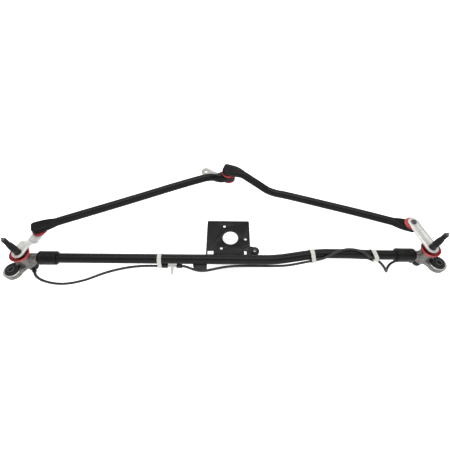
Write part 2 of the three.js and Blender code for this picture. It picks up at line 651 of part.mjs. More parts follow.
// A band round the tube and the hose beside it: two arcs joined by straight runs, and a small lock below.
function band(name, x, hoseY, hoseZ, slack = 0) {
  const axisY = tubeY(x);
  const distance = Math.hypot(hoseY - axisY, hoseZ);
  const outline = (extra) => strap(distance, TUBE.radius + GAP + extra, HOSE_RADIUS + 0.9 + slack + extra);
  const shape = outline(BAND.thickness);
  shape.holes.push(new THREE.Path(outline(0).getPoints(6)));
  const flat = sheet(shape, -BAND.width / 2, BAND.width / 2);
  const lockStart = TUBE.radius + GAP + 0.8;
  const lock = block(lockStart, lockStart + 4, -4, 4, -BAND.width / 2 + 1, BAND.width / 2 - 1);
  // The flat outline's x axis first turns towards the hose, then x points down and z along the tube.
  const made = join(flat.rotateZ(Math.atan2(hoseY - axisY, -hoseZ)), lock).rotateY(Math.PI / 2);
  const slope = THREE.MathUtils.radToDeg(Math.atan(tubeY(x + 0.5) - tubeY(x - 0.5)));
  add(name, made, whitePlastic, { x, y: axisY, turn: slope });
}

tube();
pivotEnd("left", PIVOTS.left);
pivotEnd("right", PIVOTS.right);
elbow("left_hose_elbow", PIVOTS.left, LEFT_ARM_TURN);
elbow("right_hose_elbow", PIVOTS.right, RIGHT_ARM_TURN);
levers();
ballStuds();
leftLink();
rightLink();
socketLiners();
boots();
crank();
motorPlate();
tee();
hoses();
band("left_band", -144.2, TEE.y, TEE.z);
band("middle_band", 193.4, -2.5, -0.2);
band("right_band", 328, -0.4, 8.6, 3); // the hose crosses this one at an angle

export default assembly;
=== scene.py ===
"""Windshield wiper linkage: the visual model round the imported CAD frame.

Shapes are made in millimetres from the tube's axis, with X along the tube, and piece() moves them into
the row frame, in metres.
"""
import math

import bmesh
import bpy
from mathutils import Matrix, Vector


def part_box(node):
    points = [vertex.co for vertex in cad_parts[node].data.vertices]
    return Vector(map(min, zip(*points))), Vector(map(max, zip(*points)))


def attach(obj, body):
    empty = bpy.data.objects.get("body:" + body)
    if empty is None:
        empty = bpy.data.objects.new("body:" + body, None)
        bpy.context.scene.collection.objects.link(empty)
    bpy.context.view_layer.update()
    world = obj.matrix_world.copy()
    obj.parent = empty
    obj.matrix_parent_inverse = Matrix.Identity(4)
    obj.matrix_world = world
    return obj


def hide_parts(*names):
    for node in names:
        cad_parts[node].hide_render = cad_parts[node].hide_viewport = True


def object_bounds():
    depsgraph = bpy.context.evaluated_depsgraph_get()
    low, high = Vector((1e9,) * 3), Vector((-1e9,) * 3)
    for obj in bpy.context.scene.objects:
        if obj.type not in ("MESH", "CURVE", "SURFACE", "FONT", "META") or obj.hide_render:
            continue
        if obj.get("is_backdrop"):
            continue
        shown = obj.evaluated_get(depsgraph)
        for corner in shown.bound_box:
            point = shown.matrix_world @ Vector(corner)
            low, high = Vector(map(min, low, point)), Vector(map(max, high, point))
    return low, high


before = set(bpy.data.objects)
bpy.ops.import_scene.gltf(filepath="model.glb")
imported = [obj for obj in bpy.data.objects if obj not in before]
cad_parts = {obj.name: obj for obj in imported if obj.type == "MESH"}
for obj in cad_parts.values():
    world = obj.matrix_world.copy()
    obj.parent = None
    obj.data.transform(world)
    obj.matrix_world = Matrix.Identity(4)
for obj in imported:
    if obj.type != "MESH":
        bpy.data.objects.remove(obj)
cad_low, cad_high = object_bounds()

MM = 0.001
ORIGIN_Y = 16  # the row frame's origin is this far behind the tube's axis, in millimetres
TO_ROW = Matrix.Scale(MM, 4) @ Matrix.Translation((0, -ORIGIN_Y, 0))
SIDES = ("left", "right")
GAP = 0.3


def at(x, y, z=0.0):
    """A point in millimetres from the tube's axis, in the row frame."""
    return TO_ROW @ Vector((x, y, z))


def box_of(node):
    """A CAD node's lowest and highest corners, in millimetres from the tube's axis."""
    return [TO_ROW.inverted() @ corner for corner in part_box(node)]


def spot(node):
    """The middle of a CAD node's box, in millimetres from the tube's axis."""
    low, high = box_of(node)
    return (low + high) / 2


def placed(name, data):
    """A new object in the scene, made of the data."""
    made = bpy.data.objects.new(name, data)
    bpy.context.scene.collection.objects.link(made)
    return made


# ---- Camera ----
CAMERA_PLACE = at(3.2, -314.7, 591.2)
CAMERA_ELEVATION = math.radians(55.5)
CAMERA_YAW = math.radians(0.58)

camera = placed("camera", bpy.data.cameras.new("camera"))
camera.location = CAMERA_PLACE
camera.rotation_euler = (math.pi / 2 - CAMERA_ELEVATION, 0, CAMERA_YAW)
camera.data.sensor_width = 36
camera.data.lens = 24
camera.data.clip_start = 0.01
bpy.context.scene.camera = camera


# ---- Mesh code: every shape is a bmesh in millimetres ----
def polar(reach, turn, x=0.0, y=0.0):
    """The point that far from (x, y), at an angle in degrees."""
    t = math.radians(turn)
    return x + reach * math.cos(t), y + reach * math.sin(t)


def arc(x, y, radius, start, end, steps):
    """Points on an arc, with its angles in degrees."""
    return [polar(radius, start + (end - start) * i / steps, x, y) for i in range(steps + 1)]


def circle(radius, sides, x=0.0, y=0.0):
    """The corners of a round outline, counterclockwise."""
    return arc(x, y, radius, 0, 360, sides)[:-1]


def bowed(start, control, end, steps):
    """Points on the parabola from start to end that leans towards control."""
    parts = [k / steps for k in range(steps + 1)]
    return [tuple(start * (1 - t) ** 2 + control * 2 * t * (1 - t) + end * t * t) for t in parts]


def softened(points, radius, closed=True, steps=3):
    """A flat outline with its corners rounded off. The two ends of an open one stay sharp."""
    made = []
    for i, point in enumerate(points):
        if not closed and i in (0, len(points) - 1):
            made.append(tuple(point))
            continue
        corner = Vector(point)
        before = Vector(points[i - 1]) - corner
        after = Vector(points[(i + 1) % len(points)]) - corner
        start = corner + before.normalized() * min(radius, 0.45 * before.length)
        end = corner + after.normalized() * min(radius, 0.45 * after.length)
        made += bowed(start, corner, end, steps)
    return made


def skin(rows, wrap=False):
    """A closed surface through rows of points. A row is a ring, or one point where the surface has a tip.

    The last row joins the first if they wrap round, and otherwise the end rings are capped.
    """
    bm = bmesh.new()
    rings = [[bm.verts.new(point) for point in row] for row in rows]
    pairs = list(zip(rings, rings[1:]))
    if wrap:
        pairs.append((rings[-1], rings[0]))
    for a, b in pairs:
        count = max(len(a), len(b))
        for i in range(count):
            j = (i + 1) % count
            corners = [a[i % len(a)], a[j % len(a)], b[j % len(b)], b[i % len(b)]]
            bm.faces.new(list(dict.fromkeys(corners)))
    if not wrap:
        for ring in (rings[0], rings[-1]):
            if len(ring) > 2:
                bm.faces.new(ring)
    bmesh.ops.recalc_face_normals(bm, faces=bm.faces)
    return bm


def turned(profile, sides=64, shape=None):
    """A body turned about Z from its (radius, height) outline, which is closed or ends on the axis.

    shape(angle, radius, height) gives another radius, for teeth and threads.
    """
    rows = []
    for radius, z in profile:
        if radius < 1e-6:
            rows.append([(0, 0, z)])
            continue
        row = []
        for i in range(sides):
            angle = 2 * math.pi * i / sides
            r = shape(angle, radius, z) if shape else radius
            row.append((r * math.cos(angle), r * math.sin(angle), z))
        rows.append(row)
    return skin(rows, wrap=profile[0][0] > 0 and profile[-1][0] > 0)


def turned_soft(profile, radius=0.5, sides=64, shape=None, steps=3):
    """turned() with the outline's corners rounded off."""
    closed = profile[0][0] > 0
    return turned(softened(profile, radius, closed, steps), sides, shape)


def carried(points, start=(0, 0, 1)):
    """Two square-on axes at each point of a path, turned as little as possible from start."""
    made = []
    side = Vector(start)
    for i, here in enumerate(points):
        ahead = points[min(i + 1, len(points) - 1)] - points[max(i - 1, 0)]
        ahead.normalize()
        side = (side - ahead * side.dot(ahead)).normalized()
        made.append((side.copy(), ahead.cross(side)))
    return made


def swept(points, section, bore=None):
    """A bar along a path. section(i) gives the outline at point i, as (side, across) pairs."""
    points = [Vector(p) for p in points]
    axes = carried(points)

    def rows(outline_at):
        made = []
        for i, (here, (side, across)) in enumerate(zip(points, axes)):
            made.append([here + side * u + across * v for u, v in outline_at(i)])
        return made

    if bore is None:
        return skin(rows(section))
    return skin(rows(section) + rows(bore)[::-1], wrap=True)


def round_bar(points, radius, sides=32, bore=0):
    outline = circle(radius, sides)
    inner = circle(bore, sides) if bore else None
    return swept(points, lambda i: outline, (lambda i: inner) if bore else None)


def smooth_path(points, step):
    """Points along the centripetal Catmull-Rom curve through the given ones."""
    points = [Vector(p) for p in points]
    knots = [points[0] * 2 - points[1], *points, points[-1] * 2 - points[-2]]
    made = []
    for i in range(len(points) - 1):
        p = knots[i:i + 4]
        t = [0.0]
        for a, b in zip(p, p[1:]):
            t.append(t[-1] + math.sqrt((b - a).length))
        count = max(1, round((p[2] - p[1]).length / step))
        for k in range(count):
            s = t[1] + (t[2] - t[1]) * k / count
            a = [p[j] * ((t[j + 1] - s) / (t[j + 1] - t[j])) + p[j + 1] * ((s - t[j]) / (t[j + 1] - t[j]))
                 for j in range(3)]
            b = [a[j] * ((t[j + 2] - s) / (t[j + 2] - t[j])) + a[j + 1] * ((s - t[j]) / (t[j + 2] - t[j]))
                 for j in range(2)]
            made.append(b[0] * ((t[2] - s) / (t[2] - t[1])) + b[1] * ((s - t[1]) / (t[2] - t[1])))
    made.append(points[-1])
    return made


def as_object(bm):
    mesh = bpy.data.meshes.new("work")
    bm.to_mesh(mesh)
    bm.free()
    return placed("work", mesh)


def baked(obj):
    """The object's shape after its modifiers, as a bmesh. The object is removed."""
    graph = bpy.context.evaluated_depsgraph_get()
    mesh = bpy.data.meshes.new_from_object(obj.evaluated_get(graph))
    bm = bmesh.new()
    bm.from_mesh(mesh)
    bpy.data.objects.remove(obj)
    bpy.data.meshes.remove(mesh)
    return bm


def combined(operation, body, *tools):
    base = as_object(body)
    others = [as_object(tool) for tool in tools]
    for other in others:
        step = base.modifiers.new("step", "BOOLEAN")
        step.operation = operation
        step.solver = "MANIFOLD"
        step.object = other
    made = baked(base)
    for other in others:
        bpy.data.objects.remove(other)
    return made


def joined(body, *others):
    return combined("UNION", body, *others)


def cut(body, *tools):
    return combined("DIFFERENCE", body, *tools)


def modified(bm, kind, **settings):
    """The shape after one modifier with these settings."""
    work = as_object(bm)
    step = work.modifiers.new("step", kind)
    for name, value in settings.items():
        setattr(step, name, value)
    return baked(work)


def melted(bm, voxel, rounds):
    """The shape remade of small cells and smoothed, so that its inner corners become fillets."""
    cells = modified(bm, "REMESH", mode="VOXEL", voxel_size=voxel)
    return modified(cells, "SMOOTH", factor=0.5, iterations=rounds)


def plate(outline, holes, low, high, edge=0.4):
    """A flat plate with rounded edges, from its outline and its holes."""
    curve = bpy.data.curves.new("work", "CURVE")
    curve.dimensions = "2D"
    curve.fill_mode = "BOTH"
    curve.extrude = (high - low) / 2 - edge
    curve.bevel_depth = edge
    curve.bevel_resolution = 1
    curve.offset = -edge
    for loop in [outline, *holes]:
        spline = curve.splines.new("POLY")
        spline.points.add(len(loop) - 1)
        for point, (x, y) in zip(spline.points, loop):
            point.co = (x, y, 0, 1)
        spline.use_cyclic_u = True
    bm = baked(placed("work", curve))
    bpy.data.curves.remove(curve)
    bmesh.ops.remove_doubles(bm, verts=bm.verts, dist=1e-3)
    bmesh.ops.translate(bm, vec=(0, 0, (low + high) / 2), verts=bm.verts)
    bmesh.ops.recalc_face_normals(bm, faces=bm.faces)
    return bm


def block(low, high, edge=0.6):
    """A box between two corners, with rounded edges."""
    bm = bmesh.new()
    bmesh.ops.create_cube(bm, size=1)
    size = [b - a for a, b in zip(low, high)]
    bmesh.ops.scale(bm, vec=size, verts=bm.verts)
    bmesh.ops.translate(bm, vec=[(a + b) / 2 for a, b in zip(low, high)], verts=bm.verts)
    if not edge:
        return bm
    return modified(bm, "BEVEL", width=edge, segments=3, angle_limit=math.radians(35))


def moved(bm, x=0.0, y=0.0, z=0.0, turn=0.0):
    """The shape turned about Z by degrees, then moved."""
    place = Matrix.Translation((x, y, z)) @ Matrix.Rotation(math.radians(turn), 4, "Z")
    bm.transform(place)
    return bm


def tipped(bm, angle, axis):
    bm.transform(Matrix.Rotation(math.radians(angle), 4, axis))
    return bm


def lying(bm):
    """The shape turned so that its Z axis lies along X."""
    return tipped(bm, 90, "Y")


def rod(radius, low, high, sides=48, edge=0.0):
    """A round bar along Z, with its edges rounded off by edge."""
    profile = [(0, low), (radius, low), (radius, high), (0, high)]
    return turned_soft(profile, edge, sides) if edge else turned(profile, sides)


# ---- Materials: nodes only, sized in millimetres ----
class Look:
    """A material on a Principled shader, with short ways to add layers of detail."""

    def __init__(self, name, colour, rough, metal=0.0, specular=0.5):
        self.made = bpy.data.materials.new(name)
        self.made.use_nodes = True
        self.nodes = self.made.node_tree.nodes
        self.links = self.made.node_tree.links
        self.shader = self.nodes["Principled BSDF"]
        self.shader.inputs["Specular IOR Level"].default_value = specular
        self.where = self.add("TexCoord").outputs["Object"]
        self.colour = self.add("RGB").outputs[0]
        self.colour.default_value = (*colour, 1)
        self.rough = self.value(rough)
        self.metal = self.value(metal)
        self.normal = None

    def add(self, kind, settings=None, **inputs):
        node = self.nodes.new("ShaderNode" + kind)
        for name, value in (settings or {}).items():
            setattr(node, name, value)
        for name, value in inputs.items():
            self.join(value, node.inputs[name.replace("_", " ")])
        return node

    def join(self, value, socket):
        if isinstance(value, bpy.types.NodeSocket):
            self.links.new(value, socket)
        else:
            socket.default_value = value

    def value(self, number):
        node = self.add("Value")
        node.outputs[0].default_value = number
        return node.outputs[0]

    def math(self, operation, a, b=0.0):
        node = self.add("Math", {"operation": operation})
        self.join(a, node.inputs[0])
        self.join(b, node.inputs[1])
        return node.outputs[0]

    def ranged(self, value, low, high, to_low=0.0, to_high=1.0):
        node = self.add("MapRange", Value=value, From_Min=low, From_Max=high, To_Min=to_low, To_Max=to_high)
        return node.outputs["Result"]

    def noise(self, size, detail=3.0, stretch=(1, 1, 1), warp=0.0):
        """Cloudy noise whose features are about size millimetres across, longer where stretch is over 1."""
        scale = [1 / (size * MM * s) for s in stretch]
        place = self.add("Mapping", Vector=self.where, Scale=scale).outputs[0]
        return self.add("TexNoise", Vector=place, Scale=1.0, Detail=detail, Distortion=warp).outputs[0]

    def tint(self, colour, amount):
        """Mixes a colour in, by a number or a socket from 0 to 1."""
        node = self.add("Mix", {"data_type": "RGBA"})
        self.join(amount, node.inputs[0])
        self.join(self.colour, node.inputs[6])
        self.join((*colour, 1), node.inputs[7])
        self.colour = node.outputs[2]

    def shift(self, which, target, amount):
        """Moves roughness or metalness towards a number, by a socket from 0 to 1."""
        node = self.add("Mix")
        self.join(amount, node.inputs[0])
        self.join(getattr(self, which), node.inputs[2])
        self.join(target, node.inputs[3])
        setattr(self, which, node.outputs[0])

    def bump(self, height, depth):
        """Raises the surface by a height socket from 0 to 1, times depth in millimetres."""
        node = self.add("Bump", Height=height, Distance=depth * MM, Strength=1.0)
        if self.normal:
            self.join(self.normal, node.inputs["Normal"])
        self.normal = node.outputs[0]

    # Layers that several materials share.
    def mottle(self, colour, size, amount, detail=3.0):
        self.tint(colour, self.ranged(self.noise(size, detail), 0.38, 0.68, 0.0, amount))

    def specks(self, colour, size, amount, density=0.66):
        spots = self.ranged(self.noise(size, 1.0), density, density + 0.06, 0.0, amount)
        self.tint(colour, spots)
        self.shift("rough", 0.8, spots)

    def uneven_gloss(self, size, spread):
        swing = self.ranged(self.noise(size, 4.0), 0.3, 0.7, -spread, spread)
        self.rough = self.math("ADD", self.rough, swing)

    def dust(self, colour, amount):
        """Fine dust lying on what faces up."""
        up = self.add("SeparateXYZ", Vector=self.add("NewGeometry").outputs["Normal"]).outputs[2]
        patches = self.ranged(self.noise(9, 5.0), 0.35, 0.8)
        spread = self.math("MULTIPLY", self.math("MULTIPLY", self.ranged(up, 0.2, 1.0), patches), amount)
        self.tint(colour, spread)
        self.shift("rough", 0.85, spread)

    def worn_edges(self, colour, amount, rough, metal):
        point = self.add("NewGeometry").outputs["Pointiness"]
        edge = self.ranged(point, 0.53, 0.62)
        patchy = self.math("MULTIPLY", edge, self.ranged(self.noise(2.5, 4.0), 0.42, 0.62))
        spread = self.math("MULTIPLY", patchy, amount)
        self.tint(colour, spread)
        self.shift("rough", rough, spread)
        self.shift("metal", metal, spread)

    def done(self):
        self.join(self.colour, self.shader.inputs["Base Color"])
        self.join(self.rough, self.shader.inputs["Roughness"])
        self.join(self.metal, self.shader.inputs["Metallic"])
        if self.normal:
            self.join(self.normal, self.shader.inputs["Normal"])
        return self.made


def paint_look():
    """Semi-gloss black paint on steel, a little uneven, with grey dust and bare spots on its edges."""
    look = Look("black_paint", (0.0025, 0.0025, 0.0025), 0.34, specular=0.15)
    look.mottle((0.006, 0.0057, 0.0053), 30, 0.7)
    look.specks((0.09, 0.09, 0.085), 0.9, 0.35, 0.72)
    look.uneven_gloss(6, 0.07)
    look.dust((0.06, 0.058, 0.055), 0.05)
    look.worn_edges((0.16, 0.16, 0.155), 0.3, 0.35, 0.6)
    look.bump(look.noise(2.2, 2.0), 0.05)
    look.bump(look.noise(0.35, 2.0), 0.012)
    return look.done()


def rubber_look(name="black_rubber", colour=(0.006, 0.006, 0.006), rough=0.6):
    """Moulded black rubber with a fine grain and a greyish bloom."""
    look = Look(name, colour, rough, specular=0.2)
    look.mottle((0.014, 0.014, 0.0135), 12, 0.8, 5.0)
    look.dust((0.1, 0.098, 0.095), 0.07)
    look.uneven_gloss(3, 0.08)
    look.bump(look.noise(0.5, 3.0), 0.03)
    return look.done()


def hose_look():
    """Extruded black hose: smooth, faintly streaked along its length."""
    look = Look("hose_rubber", (0.008, 0.008, 0.008), 0.48, specular=0.35)
    look.mottle((0.018, 0.018, 0.018), 18, 0.7)
    look.uneven_gloss(8, 0.1)
    look.dust((0.1, 0.1, 0.098), 0.1)
    look.bump(look.noise(0.6, 2.0, (6, 1, 1)), 0.02)
    return look.done()


def casting_look():
    """Die-cast aluminium: dull grey skin with flow marks, pits and brighter rubbed edges."""
    look = Look("cast_aluminium", (0.15, 0.147, 0.138), 0.52, metal=0.75)
    look.mottle((0.07, 0.069, 0.064), 11, 0.75, 5.0)
    look.mottle((0.24, 0.236, 0.225), 5, 0.45, 4.0)
    look.specks((0.06, 0.058, 0.055), 0.7, 0.5, 0.68)
    look.worn_edges((0.5, 0.5, 0.49), 0.7, 0.33, 1.0)
    look.uneven_gloss(3, 0.1)
    look.bump(look.noise(3.5, 4.0, warp=1.0), 0.12)
    look.bump(look.noise(0.45, 3.0), 0.05)
    return look.done()


def machined_look():
    """Faced aluminium, bright, with fine tool marks."""
    look = Look("machined_aluminium", (0.62, 0.62, 0.61), 0.33, metal=1.0)
    look.mottle((0.45, 0.45, 0.44), 4, 0.5)
    look.uneven_gloss(1.5, 0.08)
    look.bump(look.noise(0.3, 2.0, (8, 1, 1)), 0.02)
    return look.done()


def zinc_look(name="zinc_plate", colour=(0.56, 0.56, 0.54)):
    """Zinc-plated pressed steel: pale, with faint clouds, rolling lines and tiny scuffs."""
    look = Look(name, colour, 0.42, metal=0.5)
    look.mottle(tuple(c * 0.68 for c in colour), 7, 0.6, 5.0)
    look.mottle(tuple(c * 1.06 for c in colour), 16, 0.45)
    look.specks((0.3, 0.3, 0.29), 0.8, 0.45, 0.71)
    look.worn_edges((0.4, 0.4, 0.4), 0.5, 0.3, 0.9)
    look.uneven_gloss(2.5, 0.09)
    look.bump(look.noise(0.5, 3.0, (9, 1, 1)), 0.02)
    look.bump(look.noise(1.4, 2.0), 0.02)
    return look.done()


def steel_look(name="bare_steel", colour=(0.33, 0.33, 0.335), rough=0.36):
    look = Look(name, colour, rough, metal=0.95)
    look.mottle(tuple(c * 0.55 for c in colour), 3.5, 0.6, 4.0)
    look.specks((0.12, 0.1, 0.08), 0.6, 0.5, 0.69)
    look.uneven_gloss(1.5, 0.1)
    look.bump(look.noise(0.35, 2.0), 0.02)
    return look.done()


def shaft_look():
    """Blackened steel: phosphate coat, rubbed brighter along its teeth and threads."""
    look = Look("black_phosphate", (0.006, 0.006, 0.0065), 0.45, metal=0.2, specular=0.25)
    look.mottle((0.016, 0.0155, 0.015), 4, 0.8, 4.0)
    look.worn_edges((0.14, 0.14, 0.14), 0.45, 0.35, 0.9)
    look.uneven_gloss(2, 0.1)
    look.bump(look.noise(0.4, 3.0), 0.03)
    return look.done()


def bronze_look():
    """Sintered bronze, oily, with open pores."""
    look = Look("sintered_bronze", (0.36, 0.22, 0.1), 0.42, metal=0.85)
    look.mottle((0.2, 0.12, 0.06), 3, 0.6, 5.0)
    look.specks((0.05, 0.035, 0.025), 0.4, 0.8, 0.64)
    look.bump(look.noise(0.4, 3.0), 0.05)
    return look.done()


def red_look():
    """Red moulded rubber, a little glossy, darker where dirt has settled."""
    look = Look("red_rubber", (0.37, 0.014, 0.018), 0.4, specular=0.55)
    look.mottle((0.2, 0.008, 0.012), 6, 0.75, 4.0)
    look.mottle((0.55, 0.05, 0.05), 3, 0.3)
    look.dust((0.62, 0.4, 0.38), 0.14)
    look.uneven_gloss(2.5, 0.1)
    look.shader.inputs["Subsurface Weight"].default_value = 0.08
    look.shader.inputs["Subsurface Radius"].default_value = (0.0015, 0.0003, 0.0002)
    look.bump(look.noise(0.7, 3.0), 0.03)
    return look.done()


def white_look():
    """White nylon, slightly see-through at its edges, with handling marks."""
    look = Look("white_nylon", (0.5, 0.5, 0.475), 0.42)
    look.mottle((0.4, 0.395, 0.37), 5, 0.6, 4.0)
    look.specks((0.27, 0.26, 0.23), 0.7, 0.35, 0.71)
    look.uneven_gloss(2, 0.08)
    look.shader.inputs["Subsurface Weight"].default_value = 0.15
    look.shader.inputs["Subsurface Radius"].default_value = (0.001, 0.001, 0.0009)
    look.bump(look.noise(0.5, 3.0), 0.02)
    return look.done()


def liner_look():
    """Cream acetal of the ball sockets, with a film of grease."""
    look = Look("socket_acetal", (0.62, 0.58, 0.46), 0.35)
    look.mottle((0.42, 0.36, 0.24), 4, 0.6, 4.0)
    look.uneven_gloss(2, 0.1)
    look.bump(look.noise(0.6, 3.0), 0.02)
    return look.done()


# A piece's slot and its material.
PAINT = "paint", paint_look()
RUBBER = "rubber", rubber_look()
HOSE = "rubber", hose_look()
MOULDED = "black_plastic", rubber_look("black_plastic", (0.005, 0.005, 0.0053), 0.45)
CASTING = "casting", casting_look()
ZINC = "zinc", zinc_look()
DULL_ZINC = "zinc", zinc_look("dull_zinc", (0.34, 0.34, 0.325))
STEEL = "steel", steel_look()
DARK_STEEL = "steel", steel_look("dark_steel", (0.1, 0.1, 0.105), 0.4)
SHAFT = "shaft", shaft_look()
RED = "red_rubber", red_look()
WHITE = "white_plastic", white_look()
# Materials of a piece's second look and of kept CAD nodes.
MACHINED = machined_look()
BRONZE = bronze_look()
LINER = liner_look()


def piece(name, bm, body, look, *stands_for, crease=38, second=None):
    """Puts a finished shape into the row frame as one piece of the object, riding on a CAD body.

    second is another material, with a test of a face's middle and normal that says where it goes.
    """
    slot, material = look
    mesh = bpy.data.meshes.new(name)
    if second:
        for face in bm.faces:
            face.material_index = int(second[1](face.calc_center_median(), face.normal))
    bm.transform(TO_ROW)
    bm.to_mesh(mesh)
    bm.free()
    mesh.shade_smooth()
    mesh.set_sharp_from_angle(angle=math.radians(crease))
    mesh.materials.append(material)
    if second:
        mesh.materials.append(second[0])
    made = placed(name, mesh)
    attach(made, body)
    if stands_for:
        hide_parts(*stands_for)
    return made


# ---- Hoses: the same routes as the CAD frame's ----
HOSE_RADIUS = 2.8
ARM_Z = -29  # height of the elbows' arms
ARM_REACH = 18
ARM_TURN = {"left": -60, "right": 180}
TEE = Vector((-117, -12.9, -10.7))
TEE_HALF = 9.5
TEE_END = 15.5 + GAP  # where the hoses start, from the T-piece's middle
PIVOT = {side: spot(f"{side}_upper_bush") for side in SIDES}


def arm_point(side, reach):
    """A point on an elbow's arm, that far from the shaft's axis."""
    return (*polar(reach, ARM_TURN[side], PIVOT[side].x, PIVOT[side].y), ARM_Z)


LEFT_HOSE = [
    arm_point("left", ARM_REACH + GAP),
    arm_point("left", ARM_REACH + GAP + 6),
    (-421.7, -33.4, -29.5), (-408.7, -40.6, -30.5), (-394.4, -44.9, -31.3), (-379.6, -47.5, -32),
    (-364.6, -48.5, -32.1), (-349.7, -47.9, -31.6), (-334.8, -46.1, -30.3), (-320.2, -43.3, -28.4),
    (-305.8, -39.5, -26.7), (-291.8, -34.8, -24.4), (-277.8, -30, -22), (-263.6, -25.7, -19.8),
    (-249.2, -22, -17.8), (-234.6, -19, -15.9), (-219.9, -16.6, -14.2), (-205.1, -14.8, -12.7),
    (-190.2, -13.6, -11.7), (-175.2, -13, -11), (-160.2, -12.9, -10.7),
    (-145.2, TEE.y, TEE.z),
    (TEE.x - TEE_END, TEE.y, TEE.z),
]
RIGHT_HOSE = [
    (TEE.x + TEE_END, TEE.y, TEE.z),
    (-89.2, -13.5, -11), (-77.8, -16.9, -12.3), (-66.5, -20.3, -13.8), (-54.6, -22, -14.7),
    (-42.7, -21.6, -14.6), (-30.9, -19.5, -14), (-19.1, -17, -13.3), (-7.4, -14.8, -12.5),
    (4.5, -13.1, -11.7), (16.4, -12, -11.1), (28.4, -11.5, -10.7), (40.4, -11.3, -10.5),
    (52.4, -11.2, -10.4), (64.4, -11.2, -10.4), (76.4, -11.2, -10.4), (88.4, -11.3, -10.3),
    (100.4, -11.4, -9.9), (112.4, -11.5, -9), (124.3, -11.5, -7.9), (136.2, -11, -6.8),
    (148.1, -9.6, -5.6), (159.9, -7.8, -4.3), (171.6, -5.9, -2.8), (183.4, -4.1, -1.1),
    (195.2, -2.2, 0), (206.9, -0.5, 1.9), (218.1, 1.4, 5.6), (228.8, 5.3, 9.5), (239.3, 9.9, 12.9),
    (250.3, 14.3, 14.3), (261.8, 17.8, 14.6), (273.6, 19.6, 14.3), (285.6, 18.9, 14.4),
    (297.1, 15.7, 14.5), (307.6, 10, 13.6), (317.6, 4.2, 10.5), (328.4, -0.4, 8.3), (337.9, -7.6, 5.8),
    (346, -15, 0.5), (353.3, -18.9, -8.9), (360, -17, -19.3), (366.6, -9.4, -27.3),
    (373.9, 0.2, -31.2), (383.1, 8.9, -31), (394.1, 13.8, -29.6), (406.1, 15, -29), (418.1, 15, -29),
    arm_point("right", ARM_REACH + GAP),
]


def hose(side, route, exit_point):
    path = smooth_path(route, 2.0)
    bm = round_bar(path, HOSE_RADIUS, 24)
    made = piece(f"{side}_washer_hose", bm, "frame", HOSE, f"{side}_hose")
    line = [at(*p) for p in path]
    length = sum((b - a).length for a, b in zip(line, line[1:]))
    tuple(at(*exit_point))
    [tuple(p) for p in line]


hose("left", LEFT_HOSE, LEFT_HOSE[0])
hose("right", RIGHT_HOSE, RIGHT_HOSE[-1])


# ---- Frame tube, collars, motor plate ----
TUBE_RADIUS = 11
TUBE_BORE = 9
TUBE_Y = -1
TUBE_FROM, TUBE_TO = -400, 398


def smoothstep(x, low, high):
    t = min(1, max(0, (x - low) / (high - low)))
    return t * t * (3 - 2 * t)


def tube_y(x):
    """The tube's axis steps back on the right and comes forward a little again."""
    return TUBE_Y + 17 * smoothstep(x, 90, 230) - 2 * smoothstep(x, 270, 340)


def main_tube():
    step = 4
    count = round((TUBE_TO - TUBE_FROM) / step)
    xs = [TUBE_FROM + (TUBE_TO - TUBE_FROM) * i / count for i in range(count + 1)]
    bm = round_bar([(x, tube_y(x), 0) for x in xs], TUBE_RADIUS, 48, TUBE_BORE)
    piece("frame_tube", bm, "frame", PAINT, "main_tube")


def collar(side):
    """A crimped sleeve with chamfered ends and a shallow ring of crimp marks."""
    low, high = box_of(f"{side}_collar")
    length = high.x - low.x
    outer, bore, chamfer = 15.6, 11.3, 3
    groove_at, dents_at = 11, length - 14
    profile = [
        (bore, 0), (outer - chamfer, 0), (outer, chamfer), (outer, groove_at - 1.2),
        (outer - 0.5, groove_at - 0.4), (outer - 0.5, groove_at + 0.4), (outer - 0.15, groove_at + 1.2),
        (outer - 0.15, length - chamfer), (outer - chamfer, length), (bore, length),
    ]

    def crimped(angle, radius, z):
        """Four shallow dents pressed in round the far part of the sleeve."""
        if radius < outer - 1:
            return radius
        along = math.exp(-(((z - dents_at) / 4.5) ** 2))
        around = max(0, math.cos(4 * angle)) ** 6
        return radius - 0.7 * along * around

    # The outer face needs short steps, so that the dents have corners to move.
    fine = []
    for (r0, z0), (r1, z1) in zip(profile, profile[1:]):
        parts = max(1, round((z1 - z0) / 1.5)) if min(r0, r1) > outer - 1 else 1
        fine += [(r0 + (r1 - r0) * k / parts, z0 + (z1 - z0) * k / parts) for k in range(parts)]
    fine.append(profile[-1])
    bm = lying(turned(softened(fine, 0.5, True, 2), 96, crimped))
    moved(bm, low.x, (low.y + high.y) / 2, 0)
    piece(f"{side}_crimp_collar", bm, "frame", PAINT, f"{side}_collar")


PLATE_LEFT, PLATE_RIGHT, PLATE_FRONT, PLATE_BACK = -43, 57, 10.4, 103.5
PLATE_THICK = 3
MOTOR = (12, 56)  # the motor's middle
MOTOR_HOLE, BOLT_HOLE, BOLT_CIRCLE = 18, 3.2, 35  # radii
EAR = spot("ear_sleeve")


def bent_flange(side):
    """A side flange of the plate, at side -1 or 1: a strip bent down, with its corners rounded."""
    edge = PLATE_LEFT if side < 0 else PLATE_RIGHT
    thick, foot_z, bend = PLATE_THICK, -9, 2.4
    outline = [
        *arc(-bend, -bend, bend, 0, 90, 6), (-4, 0), (-4, -thick), (-thick, -thick),
        (-thick, foot_z + 0.4), (-thick + 0.4, foot_z), (-0.4, foot_z), (0, foot_z + 0.4),
    ]
    low, high = PLATE_FRONT + 14, PLATE_BACK - 7
    # Each row's place along the flange and how much its foot is cut short there.
    ends = [(low, 2.0), (low + 0.6, 0.8), (low + 2, 0), (high - 2, 0), (high - 0.6, 0.8), (high, 2.0)]
    return skin([[(edge + side * u, y, max(v, foot_z + short)) for u, v in outline] for y, short in ends])


